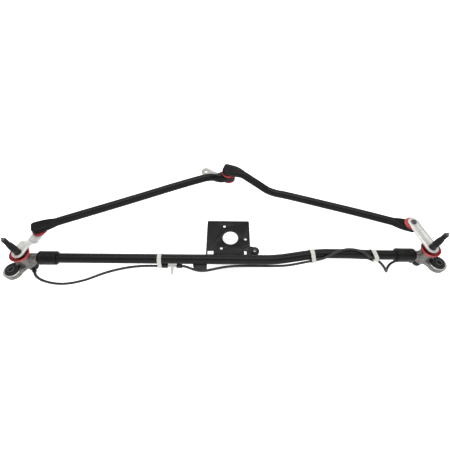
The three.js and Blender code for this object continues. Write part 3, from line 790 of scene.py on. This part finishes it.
def motor_plate():
    corner = 3.5
    outline = [
        (PLATE_LEFT, PLATE_FRONT),
        (PLATE_RIGHT, PLATE_FRONT),
        *arc(PLATE_RIGHT - corner, PLATE_BACK - corner, corner, 0, 90, 10),
        *arc(PLATE_LEFT + corner, PLATE_BACK - corner, corner, 90, 180, 10),
    ]
    holes = [circle(MOTOR_HOLE, 96, *MOTOR)]
    for turn in (-6, 114, 234):
        holes.append(circle(BOLT_HOLE, 32, *polar(BOLT_CIRCLE, turn, *MOTOR)))
    for left, right in ((-39.5, -26), (43, 48.5)):
        window = [(left, 12), (right, 12), (right, 21.5), (left, 21.5)]
        holes.append(softened(window, 1.2, True, 4))
    sheet = plate(outline, holes, -PLATE_THICK, 0, 0.35)
    ear_outline = [
        (PLATE_RIGHT - 3, EAR.y - 8.5),
        *arc(EAR.x, EAR.y, 10.5, -100, 100, 32),
        (PLATE_RIGHT - 3, EAR.y + 13),
    ]
    ear = plate(ear_outline, [circle(7, 48, EAR.x, EAR.y)], -PLATE_THICK, 0, 0.35)
    ribs = [moved(lying(rod(1.1, 0, 9.5, 20, 0.6)), x, 12, 0, 90) for x in (52, 56.5)]
    # Four low pips pressed up from below round the big hole, which keep the motor's face square.
    pips = []
    for turn in (24, 84, 204, 264):
        dome = turned([(0, 0.9), (1.2, 0.75), (2.2, 0.3), (2.6, -0.4), (0, -0.4)], 24)
        pips.append(moved(dome, *polar(27, turn, *MOTOR)))
    bm = joined(sheet, ear, bent_flange(-1), bent_flange(1), *ribs, *pips)
    piece("motor_mounting_plate", bm, "frame", PAINT, "motor_plate", crease=30)


def weld(name, start, end):
    """A fillet weld between the tube and the plate's front edge, rippled as it was laid down."""
    ripple = 2.2
    middle_y, middle_z = PLATE_FRONT - 1.1, 1.0
    count = round((end - start) / 0.45)
    rows = []
    for i in range(count + 1):
        x = start + (end - start) * i / count
        swell = 1 + 0.22 * math.sin(math.pi * ((x / ripple) % 1))
        size = swell * min(1, 0.35 + 4 * min(i, count - i) / count)
        rows.append([(x + 0.4 * u, middle_y + 2.07 * size * u, middle_z + 1.9 * size * v)
                     for u, v in circle(1, 20)])
    piece(name, skin(rows), "frame", PAINT, crease=60)


def grommet(name, node, place, waist, bore, flange, low, high, lip, lean=(0, 0)):
    """A rubber bush with bulging lips. lean shifts the upper lip sideways, as on a pushed-in grommet."""
    profile = [
        (bore, low - GAP - lip), (flange - 1.2, low - GAP - lip), (flange, low - GAP - lip * 0.55),
        (flange, low - GAP), (waist, low - GAP), (waist, high + GAP), (flange, high + GAP),
        (flange + 0.2, high + GAP + lip * 0.4), (flange - 1.6, high + GAP + lip * 0.9),
        (flange - 3.4, high + GAP + lip), (bore + 2.4, high + GAP + lip * 0.72),
        (bore + 1.2, high + GAP + lip * 1.05), (bore, high + GAP + lip),
    ]
    bm = turned_soft(profile, 0.9, 72)
    for vertex in bm.verts:
        reach = math.hypot(vertex.co.x, vertex.co.y)
        if vertex.co.z > high + 0.2 and reach > bore + 2:
            share = (reach - bore - 2) / (flange - bore - 2)
            vertex.co.x += lean[0] * share
            vertex.co.y += lean[1] * share
    piece(name, moved(bm, place.x, place.y), "frame", RUBBER, node)


def metal_sleeve(name, node, outer, bore, look=STEEL):
    low, high = box_of(node)
    centre = spot(node)
    profile = [(bore, low.z), (outer, low.z), (outer, high.z), (bore, high.z)]
    bm = moved(turned_soft(profile, 0.45, 64), centre.x, centre.y)
    piece(name, bm, "frame", look, node)


def support_block():
    """A rubber block clipped under the tube, with moulded ribs on its faces."""
    low, high = box_of("support_block")
    body = block(low, high, 1.6)
    tube_cut = moved(lying(rod(TUBE_RADIUS + GAP, -100, 100, 64)), 0, TUBE_Y)
    grooves = []
    for i in range(5):
        x = low.x + 4.2 + 4.65 * i
        grooves.append(block((x - 0.7, low.y - 1, low.z + 3), (x + 0.7, low.y + 0.8, high.z - 9), 0))
    for start, end in ((low.x - 1, low.x + 1.2), (high.x - 1.2, high.x + 1)):
        grooves.append(block((start, low.y + 4, low.z + 5), (end, high.y - 4, low.z + 9), 0))
    bm = cut(body, tube_cut, *grooves)
    piece("tube_support_block", bm, "frame", RUBBER, "support_block", crease=30)


# ---- Pivot ends ----
EYE = {side: spot(f"{side}_eye_sleeve") for side in SIDES}
EYE_LOW, EYE_HIGH = -14, -1
EYE_RADIUS, EYE_HOLE = 18.5, 14.2
BOSS_LOW, BOSS_HIGH = -18, 17
NECK_RADIUS, SPIGOT_RADIUS, SPIGOT_LENGTH = 10.7, 8.7, 24
BUSH_RADIUS, SHAFT_RADIUS = 9, 7


def housing(side):
    """The cast end: a boss round the shaft, a neck into the tube, and the fixing eye on a web."""
    pivot, eye = PIVOT[side], EYE[side] - PIVOT[side]
    outward = -1 if side == "left" else 1
    tube_end = TUBE_FROM if side == "left" else TUBE_TO
    axis_y = tube_y(tube_end) - pivot.y
    reach = abs(tube_end - pivot.x)

    def along_tube(bm):
        """Lays a shape that was turned about Z along the tube's axis, towards the tube."""
        return moved(tipped(bm, 90 if outward < 0 else -90, "Y"), 0, axis_y)

    eye_angle = math.degrees(math.atan2(eye.y, eye.x))
    eye_reach = math.hypot(eye.x, eye.y)
    boss = turned_soft([(0, BOSS_LOW), (14.8, BOSS_LOW), (13.6, BOSS_HIGH), (0, BOSS_HIGH)], 1.2, 64)
    ring = rod(EYE_RADIUS, EYE_LOW, EYE_HIGH, 72, 1.0)
    web_outline = [
        *arc(0, 0, 13.4, 100, 260, 14),
        *arc(eye_reach, 0, EYE_RADIUS - 0.5, -112, 112, 24),
    ]
    web = moved(plate(web_outline, [], EYE_LOW + 2, EYE_HIGH - 1.5, 0.5), turn=eye_angle)
    neck = along_tube(rod(NECK_RADIUS, 0, reach - GAP, 48, 0.6))
    # A rib and a pad stiffen the neck, and a gusset ties the eye to the boss.
    rib_low, rib_high = sorted((0, -outward * 19))
    pad_low, pad_high = sorted((0, -outward * 16))
    top_rib = block((rib_low, axis_y - 1.8, 2), (rib_high, axis_y + 1.8, 13.5), 0.6)
    back_pad = block((pad_low, axis_y - 7.6, -13), (pad_high, axis_y + 7.6, 2), 0.8)
    gusset = moved(block((8, -2, -6), (eye_reach - 9, 2, 7.5), 0.6), turn=eye_angle)
    shape = melted(joined(boss, moved(ring, eye.x, eye.y), web, neck, top_rib, back_pad, gusset), 0.75, 7)
    spigot = along_tube(rod(SPIGOT_RADIUS, 2, reach + SPIGOT_LENGTH))
    bores = [
        rod(BUSH_RADIUS + GAP, BOSS_LOW - 2, BOSS_HIGH + 2, 64),
        moved(rod(EYE_HOLE, EYE_LOW - 2, EYE_HIGH + 20, 72), eye.x, eye.y),
    ]
    bm = moved(cut(joined(shape, spigot), *bores), pivot.x, pivot.y)

    def faced(middle, normal):
        """The eye's upper face is machined."""
        off = math.hypot(middle.x - EYE[side].x, middle.y - EYE[side].y)
        return normal.z > 0.9 and EYE_HIGH - 0.7 < middle.z < EYE_HIGH + 0.4 and off < EYE_RADIUS

    piece(f"{side}_housing_casting", bm, "frame", CASTING, f"{side}_pivot_housing",
          crease=40, second=(MACHINED, faced))


def pivot_seal(side):
    """The red cup under the lever, with a folded side."""
    profile = [
        (7.5, 17.5), (14.2, 17.4), (15.0, 18.4), (15.4, 20.2), (17.0, 20.9), (17.4, 23.0), (19.2, 23.9),
        (20.0, 26.2), (20.6, 28.4), (20.2, 29.5), (19.2, 29.5), (18.4, 26.9), (16.8, 24.9), (15.4, 23.0),
        (13.8, 21.4), (7.5, 20.2),
    ]
    bm = moved(turned_soft(profile, 0.8, 96), PIVOT[side].x, PIVOT[side].y)
    piece(f"{side}_shaft_seal", bm, "frame", RED, f"{side}_pivot_seal", crease=60)


TEETH = 36
CONE_FROM, CONE_TO = 46, 65.9
THREAD_FROM, THREAD_TO, THREAD_PITCH = 66.6, 83, 1.25


def shaft_shape(angle, radius, z):
    """Splines on the cone and a thread on the tip."""
    if CONE_FROM < z < CONE_TO:
        fade = min(1, (z - CONE_FROM) / 1.2, (CONE_TO - z) / 0.8)
        wave = abs((TEETH * angle / (2 * math.pi)) % 1 - 0.5) * 2
        return radius - 0.55 * fade * wave
    if THREAD_FROM < z < THREAD_TO:
        fade = min(1, (z - THREAD_FROM) / 1.5, (THREAD_TO - z) / 1.2)
        wave = abs((z / THREAD_PITCH - angle / (2 * math.pi)) % 1 - 0.5) * 2
        return radius - 0.6 * fade * wave
    return radius


def pivot_shaft(side):
    """A hollow shaft with a groove for its circlip, a splined cone and a threaded tip."""
    place = PIVOT[side]
    r, bore = SHAFT_RADIUS, 1.8
    cone = [CONE_FROM + 20 * i / 24 for i in range(25)]
    count = round((THREAD_TO - THREAD_FROM) / 0.16)
    profile = [
        (bore, -32), (r - 0.5, -32), (r, -31.5), (r, -21.2), (6, -21.2), (6, -19), (r, -19), (r, 44.5),
        (6.8, 45.2),
        *[(r - max(0, z - 55) * 0.1, z) for z in cone],
        (5.4, 66.3),
        *[(5.0, THREAD_FROM + (THREAD_TO - THREAD_FROM) * i / count) for i in range(count + 1)],
        (4.3, 83.8), (bore, 84),
    ]
    bm = turned(profile, 4 * TEETH, shaft_shape)
    piece(f"{side}_wiper_shaft", moved(bm, place.x, place.y), f"{side}_pivot", SHAFT,
          f"{side}_pivot_shaft", crease=28)
    nozzle = [
        (0, 70), (1.5, 70), (1.5, 84.3), (3.1, 84.3), (3.1, 86.2), (2.6, 87), (2.0, 87.3), (1.9, 89.2),
        (1.3, 89.5), (0.6, 89.4), (0.6, 88), (0, 88),
    ]
    tip = turned_soft(nozzle, 0.2, 40)
    piece(f"{side}_spray_nozzle", moved(tip, place.x, place.y), f"{side}_pivot", DARK_STEEL,
          f"{side}_washer_nozzle")


def circlip(side):
    """An external circlip with two lugs at its gap."""
    place = PIVOT[side]
    half_gap = 12
    inner, outer = 6.3, 8.9
    lug_x, lug_y, lug_radius = 9.3, 3.4, 1.9
    outline = [
        *arc(0, 0, outer, half_gap + 14, 360 - half_gap - 14, 60),
        *arc(lug_x, -lug_y, lug_radius, -130, 20, 10),
        *arc(0, 0, inner, 360 - half_gap, half_gap, 56),
        *arc(lug_x, lug_y, lug_radius, -20, 130, 10),
    ]
    holes = [circle(0.8, 16, lug_x, y) for y in (-lug_y, lug_y)]
    bm = moved(plate(outline, holes, -20.8, -19.4, 0.2), place.x, place.y, 0, 30)
    piece(f"{side}_retaining_ring", bm, f"{side}_pivot", STEEL, f"{side}_circlip")


def elbow(side):
    """The moulded hose elbow under the shaft: a ribbed cap with a barbed arm."""
    place = PIVOT[side]
    groove = [(10, -26.4), (9.4, -25.8), (9.4, -24.6), (10, -24)]
    body = turned_soft([(0, -37), (8.2, -37), (10, -34.8), *groove, (9.7, -23), (0, -23)], 0.5, 64)
    bead = [(4.2, 13), (4.6, 14), (4.6, 16.6)]
    arm = lying(turned_soft([(0, 0), (4.6, 0), *bead, (3.8, ARM_REACH), (0, ARM_REACH)], 0.4, 40))
    moved(arm, 0, 0, ARM_Z)
    ribs = [
        block((4, -0.8, ARM_Z + 2), (13.5, 0.8, -24.6), 0.3),
        block((4, -0.8, -35.5), (13.5, 0.8, ARM_Z - 2), 0.3),
    ]
    bosses = []
    for turn in (70, 145, 215, 290):
        bosses.append(moved(block((8.6, -0.7, -35), (10.6, 0.7, -27), 0.3), turn=turn))
    solid = joined(body, arm, *ribs, *bosses)
    pocket = rod(SHAFT_RADIUS + GAP, -33, -20)
    channel = moved(lying(rod(1.6, 0, ARM_REACH + 2, 24)), 0, 0, ARM_Z)
    bm = moved(cut(solid, pocket, channel), place.x, place.y, 0, ARM_TURN[side])
    piece(f"{side}_elbow_moulding", bm, "frame", MOULDED, f"{side}_hose_elbow", crease=30)


# ---- Levers, ball studs, links, boots, crank ----
STUD = {side: spot(f"{side}_ball_stud") for side in SIDES}
CENTRE = spot("double_ball_stud")
LEVER_LENGTH = 68
LEVER_LOW, LEVER_HIGH = 30, 34
LEVER_DROP, DROP_FROM, DROP_TO = 14, 25, 37
BALL_RADIUS, BALL_NECK, SHANK_RADIUS = 6.5, 3.6, 4


def strap(length, first, second, steps=28):
    """The outline of a strap round two discs, the first at the origin and the second along X."""
    lean = math.degrees(math.acos((first - second) / length))
    return [
        *arc(0, 0, first, lean, 360 - lean, steps),
        *arc(length, 0, second, -lean, lean, steps),
    ]


def turn_of(start, end):
    return math.degrees(math.atan2(end.y - start.y, end.x - start.x))


def pressed_lever(side):
    """A pressed-steel lever. The left one has a Z-bend between its shaft and its ball stud."""
    pivot = PIVOT[side]
    holes = [circle(SHAFT_RADIUS + GAP, 48), circle(SHANK_RADIUS + GAP, 32, LEVER_LENGTH)]
    if side == "right":
        holes.append(circle(2.2, 24, 47))
    bm = plate(strap(LEVER_LENGTH, 13, 11.8), holes, LEVER_LOW, LEVER_HIGH, 0.55)
    if side == "left":
        bend(bm)
    bm = moved(bm, pivot.x, pivot.y, 0, turn_of(pivot, STUD[side]))
    piece(f"{side}_drive_lever", bm, f"{side}_pivot", ZINC, f"{side}_lever", crease=32)


def bend(bm):
    """Puts the Z-bend into a flat lever that lies along X, keeping its thickness."""
    start, end = DROP_FROM - 2, DROP_TO + 2
    cuts = 28
    for i in range(cuts + 1):
        x = start + (end - start) * i / cuts
        geometry = [*bm.verts, *bm.edges, *bm.faces]
        bmesh.ops.bisect_plane(bm, geom=geometry, plane_co=(x, 0, 0), plane_no=(1, 0, 0))
    middle = (LEVER_LOW + LEVER_HIGH) / 2
    for vertex in bm.verts:
        x, up = vertex.co.x, vertex.co.z - middle
        t = min(1, max(0, (x - start) / (end - start)))
        drop = LEVER_DROP * t * t * (3 - 2 * t)
        lean = math.atan(-LEVER_DROP * 6 * t * (1 - t) / (end - start))
        vertex.co.x = x - up * math.sin(lean)
        vertex.co.z = middle - drop + up * math.cos(lean)


def ball_side(z, to_neck=False, steps=14):
    """A ball's outline, from the neck under it to its top or to another neck above it."""
    start = math.pi - math.asin(BALL_NECK / BALL_RADIUS)
    end = math.asin(BALL_NECK / BALL_RADIUS) if to_neck else 0
    turns = [start + (end - start) * i / steps for i in range(steps + 1)]
    return [(BALL_RADIUS * math.sin(t) if t else 0, z + BALL_RADIUS * math.cos(t)) for t in turns]


def rivet(low, high):
    """A stud's peened head under its plate, its shank, and its shoulder above the plate."""
    r = SHANK_RADIUS
    return [
        (0, low - 2.5), (1.4, low - 2.5), (1.9, low - 3), (r + 0.4, low - 3), (r + 1.6, low - 2.3),
        (r + 2, low - 1.2), (r + 2, low - GAP), (r, low - GAP), (r, high + GAP), (r + 2, high + GAP),
        (r + 2, high + 1.4), (BALL_NECK, high + 2.4),
    ]


def ball_studs():
    low = LEVER_LOW - LEVER_DROP
    left = [*rivet(low, low + 4), *ball_side(29.5)]
    right = [(r, -z) for r, z in [*rivet(-LEVER_HIGH, -LEVER_LOW), *ball_side(-20.5)]]
    both = [*rivet(16, 20), *ball_side(29.5, to_neck=True), *ball_side(49)]
    for name, node, profile, place, body in (
        ("left_riveted_ball", "left_ball_stud", left, STUD["left"], "left_pivot"),
        ("right_riveted_ball", "right_ball_stud", right, STUD["right"], "right_pivot"),
        ("double_riveted_ball", "double_ball_stud", both, CENTRE, "crank"),
    ):
        piece(name, moved(turned(profile, 48), place.x, place.y), body, DARK_STEEL, node, crease=30)


LINK_RADIUS, LINK_TAPER, LINK_HALF = 9.5, 40, 7
LINK_CORNER = 7
LINK_SIDES = 48
SOCKET_RADIUS = 9
FLAT_UNTIL = 17  # how far the end stays flat, from the ball's axis


def link_section(width, height, power):
    """A rounded outline between an ellipse, at power 2, and a rectangle, at a high one."""

    def squared(value):
        return math.copysign(abs(value) ** (2 / power), value)

    return [(squared(v) * height, -squared(u) * width) for u, v in circle(1, LINK_SIDES)]


def link_end_shape(x, half, tip):
    """Half width, half height and squareness at a distance from the ball's axis, towards the tube."""
    into_corner = LINK_CORNER - (x + tip)
    if into_corner > 0:
        width = half - LINK_CORNER + math.sqrt(max(0, LINK_CORNER**2 - into_corner**2))
    else:
        t = smoothstep(x, tip - 4, LINK_TAPER)
        width = half + (LINK_RADIUS - half) * t
    edge = min(1, 0.72 + (x + tip) / 5)
    t = smoothstep(x, FLAT_UNTIL, LINK_TAPER)
    return width, (LINK_HALF + (LINK_RADIUS - LINK_HALF) * t) * edge, 6 - 4 * t


def link_body(length, axis, ends):
    """A tube flattened at both ends. axis(x) is its sideways shift and height, and ends the ends' sizes."""
    steps = [LINK_CORNER * (1 - math.cos(math.radians(90 * i / 8))) for i in range(9)]
    near = [step - ends[0][1] for step in steps]
    far = [length + ends[1][1] - step for step in reversed(steps)]
    count = round((far[0] - near[-1]) / 2.5)
    middle = [near[-1] + (far[0] - near[-1]) * i / count for i in range(1, count)]
    rows = []
    for x in [*near, *middle, *far]:
        half, tip = ends[0] if x < length / 2 else ends[1]
        width, height, power = link_end_shape(min(x, length - x), half, tip)
        (y0, z0), (y1, z1) = axis(x - 0.5), axis(x + 0.5)
        ahead = Vector((1, y1 - y0, z1 - z0)).normalized()
        side = Vector((0, 0, 1)).cross(ahead).normalized()
        up = ahead.cross(side)
        centre = Vector((x, (y0 + y1) / 2, (z0 + z1) / 2))
        rows.append([centre + up * u + side * v for u, v in link_section(width, height, power)])
    return skin(rows)


def axis_along(points):
    """The sideways shift and the height of a smooth line through the points, by x."""
    route = smooth_path(points, 2.0)

    def place(x):
        for a, b in zip(route, route[1:]):
            if a.x <= x <= b.x:
                t = (x - a.x) / (b.x - a.x)
                return a.y + (b.y - a.y) * t, a.z + (b.z - a.z) * t
        end = route[0] if x < route[0].x else route[-1]
        return end.y, end.z

    return place


def drive_link(side, near, far, ends, outer_bore, inner_bore):
    """A link from its lever's ball to the crank's, where its axis runs through near and then far points.

    A point is its distance from that end's ball towards the other one, its sideways shift and its height.
    """
    start = STUD[side]
    length = math.hypot(CENTRE.x - start.x, CENTRE.y - start.y)
    axis = axis_along([*near, *[(length - x, y, z) for x, y, z in far]])
    bm = cut(link_body(length, axis, ends), outer_bore, moved(inner_bore, length))
    bm = moved(bm, start.x, start.y, 0, turn_of(start, CENTRE))
    piece(f"{side}_drive_link", bm, f"{side}_rod", PAINT, f"{side}_link", crease=35)


def left_link():
    """Its tube rises gently towards the crank, then drops to the inner end."""
    low = 32.0
    near = [(-20, 0, low), (28, 0, low), (60, 0, low + 1.5)]
    far = [
        (317, 0, low + 4.5), (231, 0, low + 8), (140, 0, low + 12.5), (75, 0, low + 14),
        (58, 0, low + 13.4), (46, 0, low + 10.6), (37, 0, low + 6), (30, 0, low + 2.4), (26, 0, low + 1),
        (18, 0, low), (-20, 0, low),
    ]
    ends = ((13.5, 13), (15.5, 13))
    socket = SOCKET_RADIUS + GAP
    drive_link("left", near, far, ends, rod(socket, 20, 37.3, 64), rod(socket, 10, 60, 64))


def right_link():
    """Its tube runs low from the lever and steps up over the left link's end to the upper ball."""
    low, high = 18.0, 51.5
    near = [(-20, 0, low), (28, 0, low), (127, 0.3, low), (184, 1.5, low), (242, 2.7, low), (302, 4.7, low)]
    far = [
        (132, 5.8, low), (118, 6.1, low + 0.6), (104, 5.9, low + 3.4), (79, 4.4, high - 19.3),
        (56, 2.7, high - 9.7), (42, 1.5, high - 4.1), (33, 0.8, high - 1.3), (26, 0.3, high - 0.5),
        (17, 0, high), (-20, 0, high),
    ]
    ends = ((13.5, 13), (14.5, 14))
    drive_link("right", near, far, ends, rod(SOCKET_RADIUS + GAP, 12.7, 40, 64), rod(12, 30, 57.3, 64))


def boot(name, place, body):
    """A red boot round a ball joint: two full lips with a fold between them."""
    low, high = box_of(f"{name}_boot")
    bottom, top, middle = low.z, high.z, (low.z + high.z) / 2
    profile = [
        (7.6, bottom), (16.2, bottom), (17.2, bottom + 0.9), (16.9, bottom + 1.7), (15.0, middle - 0.2),
        (15.0, middle + 0.2), (16.9, top - 1.7), (17.2, top - 0.9), (16.2, top), (7.6, top),
    ]
    bm = moved(turned_soft(profile, 0.5, 80), place.x, place.y)
    piece(f"{name}_dust_boot", bm, body, RED, f"{name}_boot", crease=60)


def crank():
    """A pressed arm with a narrow waist, and a tapered hole for the motor's shaft at its far end."""
    low, high = box_of("crank_arm")
    turn, length = 156, 65
    bow = 5.5
    near = arc(0, 0, 13, 60, 300, 32)
    far = arc(length, 0, 12.5, 240, 480, 32)

    def waist(start, end, control):
        return bowed(Vector(start), Vector(control), Vector(end), 16)[1:-1]

    loop = [
        *near,
        *waist(near[-1], far[0], (length / 2, -bow)),
        *far,
        *waist(far[-1], near[0], (length / 2, bow)),
    ]
    flat = plate(loop, [circle(SHANK_RADIUS + GAP, 32)], low.z, high.z, 0.5)
    cone = turned([(0, low.z - 1), (3.6, low.z - 1), (4.6, high.z + 1), (0, high.z + 1)], 48)
    bm = moved(cut(flat, moved(cone, length)), CENTRE.x, CENTRE.y, 0, turn)
    piece("motor_crank", bm, "crank", DULL_ZINC, "crank_arm", crease=32)


# ---- T-piece, hose sleeves and cable ties ----
def barbed(radius, reach, barbs=2):
    """A spigot with saw-tooth barbs at its end."""
    step = 2.4
    profile = [(0, 0), (radius - 0.5, 0)]
    start = reach - barbs * step
    for i in range(barbs):
        here = start + step * i
        profile += [(radius - 0.5, here), (radius, here + 0.15), (radius - 0.5, here + step)]
    return turned([*profile, (0, reach)], 32)


def tee():
    """The T-piece, with its open stem hanging forward, and the two hose sleeves beside it."""
    body = [(0, -TEE_HALF), (3.3, -TEE_HALF), (3.6, -8), (3.6, 8), (3.3, TEE_HALF), (0, TEE_HALF)]
    stem = [(0, 0), (3.4, 0), (3.2, 10.4), (2.7, 11), (0, 11)]
    stem_tilt = 112
    arms = [
        lying(turned_soft(body, 0.3, 40)),
        lying(barbed(2.3, 15.5)),
        tipped(barbed(2.3, 15.5), -90, "Y"),
        tipped(turned_soft(stem, 0.3, 40), stem_tilt, "X"),
        tipped(barbed(2.6, 19, 3), stem_tilt, "X"),
        block((-5.5, -1, -3.9), (5.5, 1, 3.9), 0.4),
    ]
    bm = cut(joined(*arms), tipped(rod(1.2, 6, 25, 20), stem_tilt, "X"))
    piece("white_tee", moved(bm, *TEE), "frame", WHITE, "tee_fitting", crease=30)
    end = 12
    for side, start in (("left", TEE.x - TEE_HALF - GAP - end), ("right", TEE.x + TEE_HALF + GAP)):
        profile = [(3.2, 0), (4.4, 0), (4.6, 2), (4.4, 6), (4.6, 10), (4.4, end), (3.2, end)]
        ring = lying(turned_soft(profile, 0.4, 40))
        piece(f"{side}_hose_sleeve", moved(ring, start, TEE.y, TEE.z), "frame", MOULDED,
              f"tee_{side}_sleeve")


BAND_WIDTH, BAND_THICK = 9, 1.3


def cable_tie(side, x, hose_y, hose_z, lean=0.0, slack=0.0):
    """A nylon tie round the tube and the hose, with its lock and trimmed tail underneath."""
    axis_y = tube_y(x)
    away = math.hypot(hose_y - axis_y, hose_z)
    half, thick = BAND_WIDTH / 2, BAND_THICK / 2
    path = strap(away, TUBE_RADIUS + GAP + thick, HOSE_RADIUS + 0.9 + slack + thick, 40)
    edge = [(half - 1.6, thick), (half - 2.1, thick - 0.3)]
    other = [(-u, v) for u, v in reversed(edge)]
    corners = [(-half, -thick), (half, -thick), (half, thick), *edge, *other, (-half, thick)]
    section = softened(corners, 0.25, True, 2)
    rows = []
    for i, (here_x, here_y) in enumerate(path):
        ahead = (Vector(path[(i + 1) % len(path)]) - Vector(path[i - 1])).normalized()
        rows.append([(here_x + ahead.y * v, here_y - ahead.x * v, u) for u, v in section])
    strap_ring = skin(rows, wrap=True)
    # The flat outline's X axis first turns towards the hose, then X points down and Z along the tube.
    tipped(strap_ring, math.degrees(math.atan2(hose_y - axis_y, -hose_z)), "Z")
    start = TUBE_RADIUS + GAP + 0.8
    lock = block((start, -4.2, -half - 0.2), (start + 4.2, 4.2, half + 0.2), 0.9)
    slot_cut = block((start + 1.8, -6, -half + 1), (start + 3.2, 6, half - 1), 0)
    tail = block((start + 1.9, 1, -half + 1.3), (start + 3.1, 9.5, half - 1.3), 0.25)
    bm = joined(strap_ring, cut(lock, slot_cut), tail)
    lying(bm)
    for vertex in bm.verts:
        vertex.co.x += lean * vertex.co.z
    slope = math.degrees(math.atan(tube_y(x + 0.5) - tube_y(x - 0.5)))
    moved(bm, x, axis_y, 0, slope)
    piece(f"{side}_cable_tie", bm, "frame", WHITE, f"{side}_band", crease=35)


# ---- Everything ----
main_tube()
motor_plate()
weld("left_plate_weld", -22, -4)
weld("middle_plate_weld", 6, 20)
weld("right_plate_weld", 28, 40)
grommet("ear_bush", "ear_grommet", EAR, 6.7, 4.6, 9.8, -PLATE_THICK, 0, 2.2)
metal_sleeve("ear_bush_sleeve", "ear_sleeve", 4.3, 3.1, DARK_STEEL)
support_block()
for side in SIDES:
    collar(side)
    housing(side)
    lean = (1.6 if side == "left" else -1.6, 1.8)
    sizes = (EYE_HOLE - GAP, 7.3, 15.6, EYE_LOW, EYE_HIGH, 2.8)
    grommet(f"{side}_eye_bush", f"{side}_eye_grommet", EYE[side], *sizes, lean)
    metal_sleeve(f"{side}_eye_bush_sleeve", f"{side}_eye_sleeve", 7, 5, DARK_STEEL)
    pivot_seal(side)
    pivot_shaft(side)
    circlip(side)
    elbow(side)
    pressed_lever(side)
ball_studs()
left_link()
right_link()
boot("left_outer", STUD["left"], "left_rod")
boot("right_outer", STUD["right"], "right_rod")
boot("centre_lower", CENTRE, "crank")
boot("centre_upper", CENTRE, "crank")
crank()
tee()
cable_tie("left", -144.2, TEE.y, TEE.z)
cable_tie("middle", 193.4, -2.5, -0.2)
cable_tie("right", 328, -0.4, 8.6, lean=0.12, slack=2.2)


def keep(node, look):
    """A CAD node that stays, with a better material."""
    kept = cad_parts[node]
    kept.data.materials.clear()
    kept.data.materials.append(look)


for side in SIDES:
    keep(f"{side}_upper_bush", BRONZE)
    keep(f"{side}_lower_bush", BRONZE)
    keep(f"{side}_outer_socket", LINER)
    keep(f"{side}_inner_socket", LINER)


# ---- Floor, light and background ----
FLOOR_Z = -48


def floor():
    bm = bmesh.new()
    bmesh.ops.create_grid(bm, x_segments=1, y_segments=1, size=6)
    mesh = bpy.data.meshes.new("floor")
    bm.to_mesh(mesh)
    bm.free()
    made = placed("floor", mesh)
    made.location = (0, 0, FLOOR_Z * MM)
    look = bpy.data.materials.new("floor")
    look.use_nodes = True
    shader = look.node_tree.nodes["Principled BSDF"]
    shader.inputs["Base Color"].default_value = (0.9, 0.9, 0.9, 1)
    shader.inputs["Roughness"].default_value = 0.9
    shader.inputs["Specular IOR Level"].default_value = 0.1
    shader.inputs["Emission Color"].default_value = (1, 1, 1, 1)
    shader.inputs["Emission Strength"].default_value = 0.6
    mesh.materials.append(look)
    made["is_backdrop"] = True


def soft_light(name, place, size, power):
    """A large lamp that faces the middle of the object."""
    lamp = bpy.data.lights.new(name, "AREA")
    lamp.shape = "RECTANGLE"
    lamp.size, lamp.size_y = size
    lamp.energy = power
    made = placed(name, lamp)
    made.location = place
    made.rotation_euler = (-Vector(place)).to_track_quat("-Z", "Y").to_euler()


floor()
soft_light("overhead", (0, 0.3, 1.9), (2.4, 1.4), 34)
soft_light("front", (0.2, -1.9, 0.75), (2.6, 0.7), 16)
soft_light("back", (0, 1.9, 0.9), (2.4, 0.6), 12)

world = bpy.data.worlds.new("studio")
world.use_nodes = True
world.node_tree.nodes["Background"].inputs["Color"].default_value = (1, 1, 1, 1)
world.node_tree.nodes["Background"].inputs["Strength"].default_value = 0.55
bpy.context.scene.world = world
bpy.context.scene.view_settings.view_transform = "Standard"

visual_low, visual_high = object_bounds()
sizes = {
    "cad": [list(cad_low), list(cad_high)],
    "visual": [list(visual_low), list(visual_high)],
}
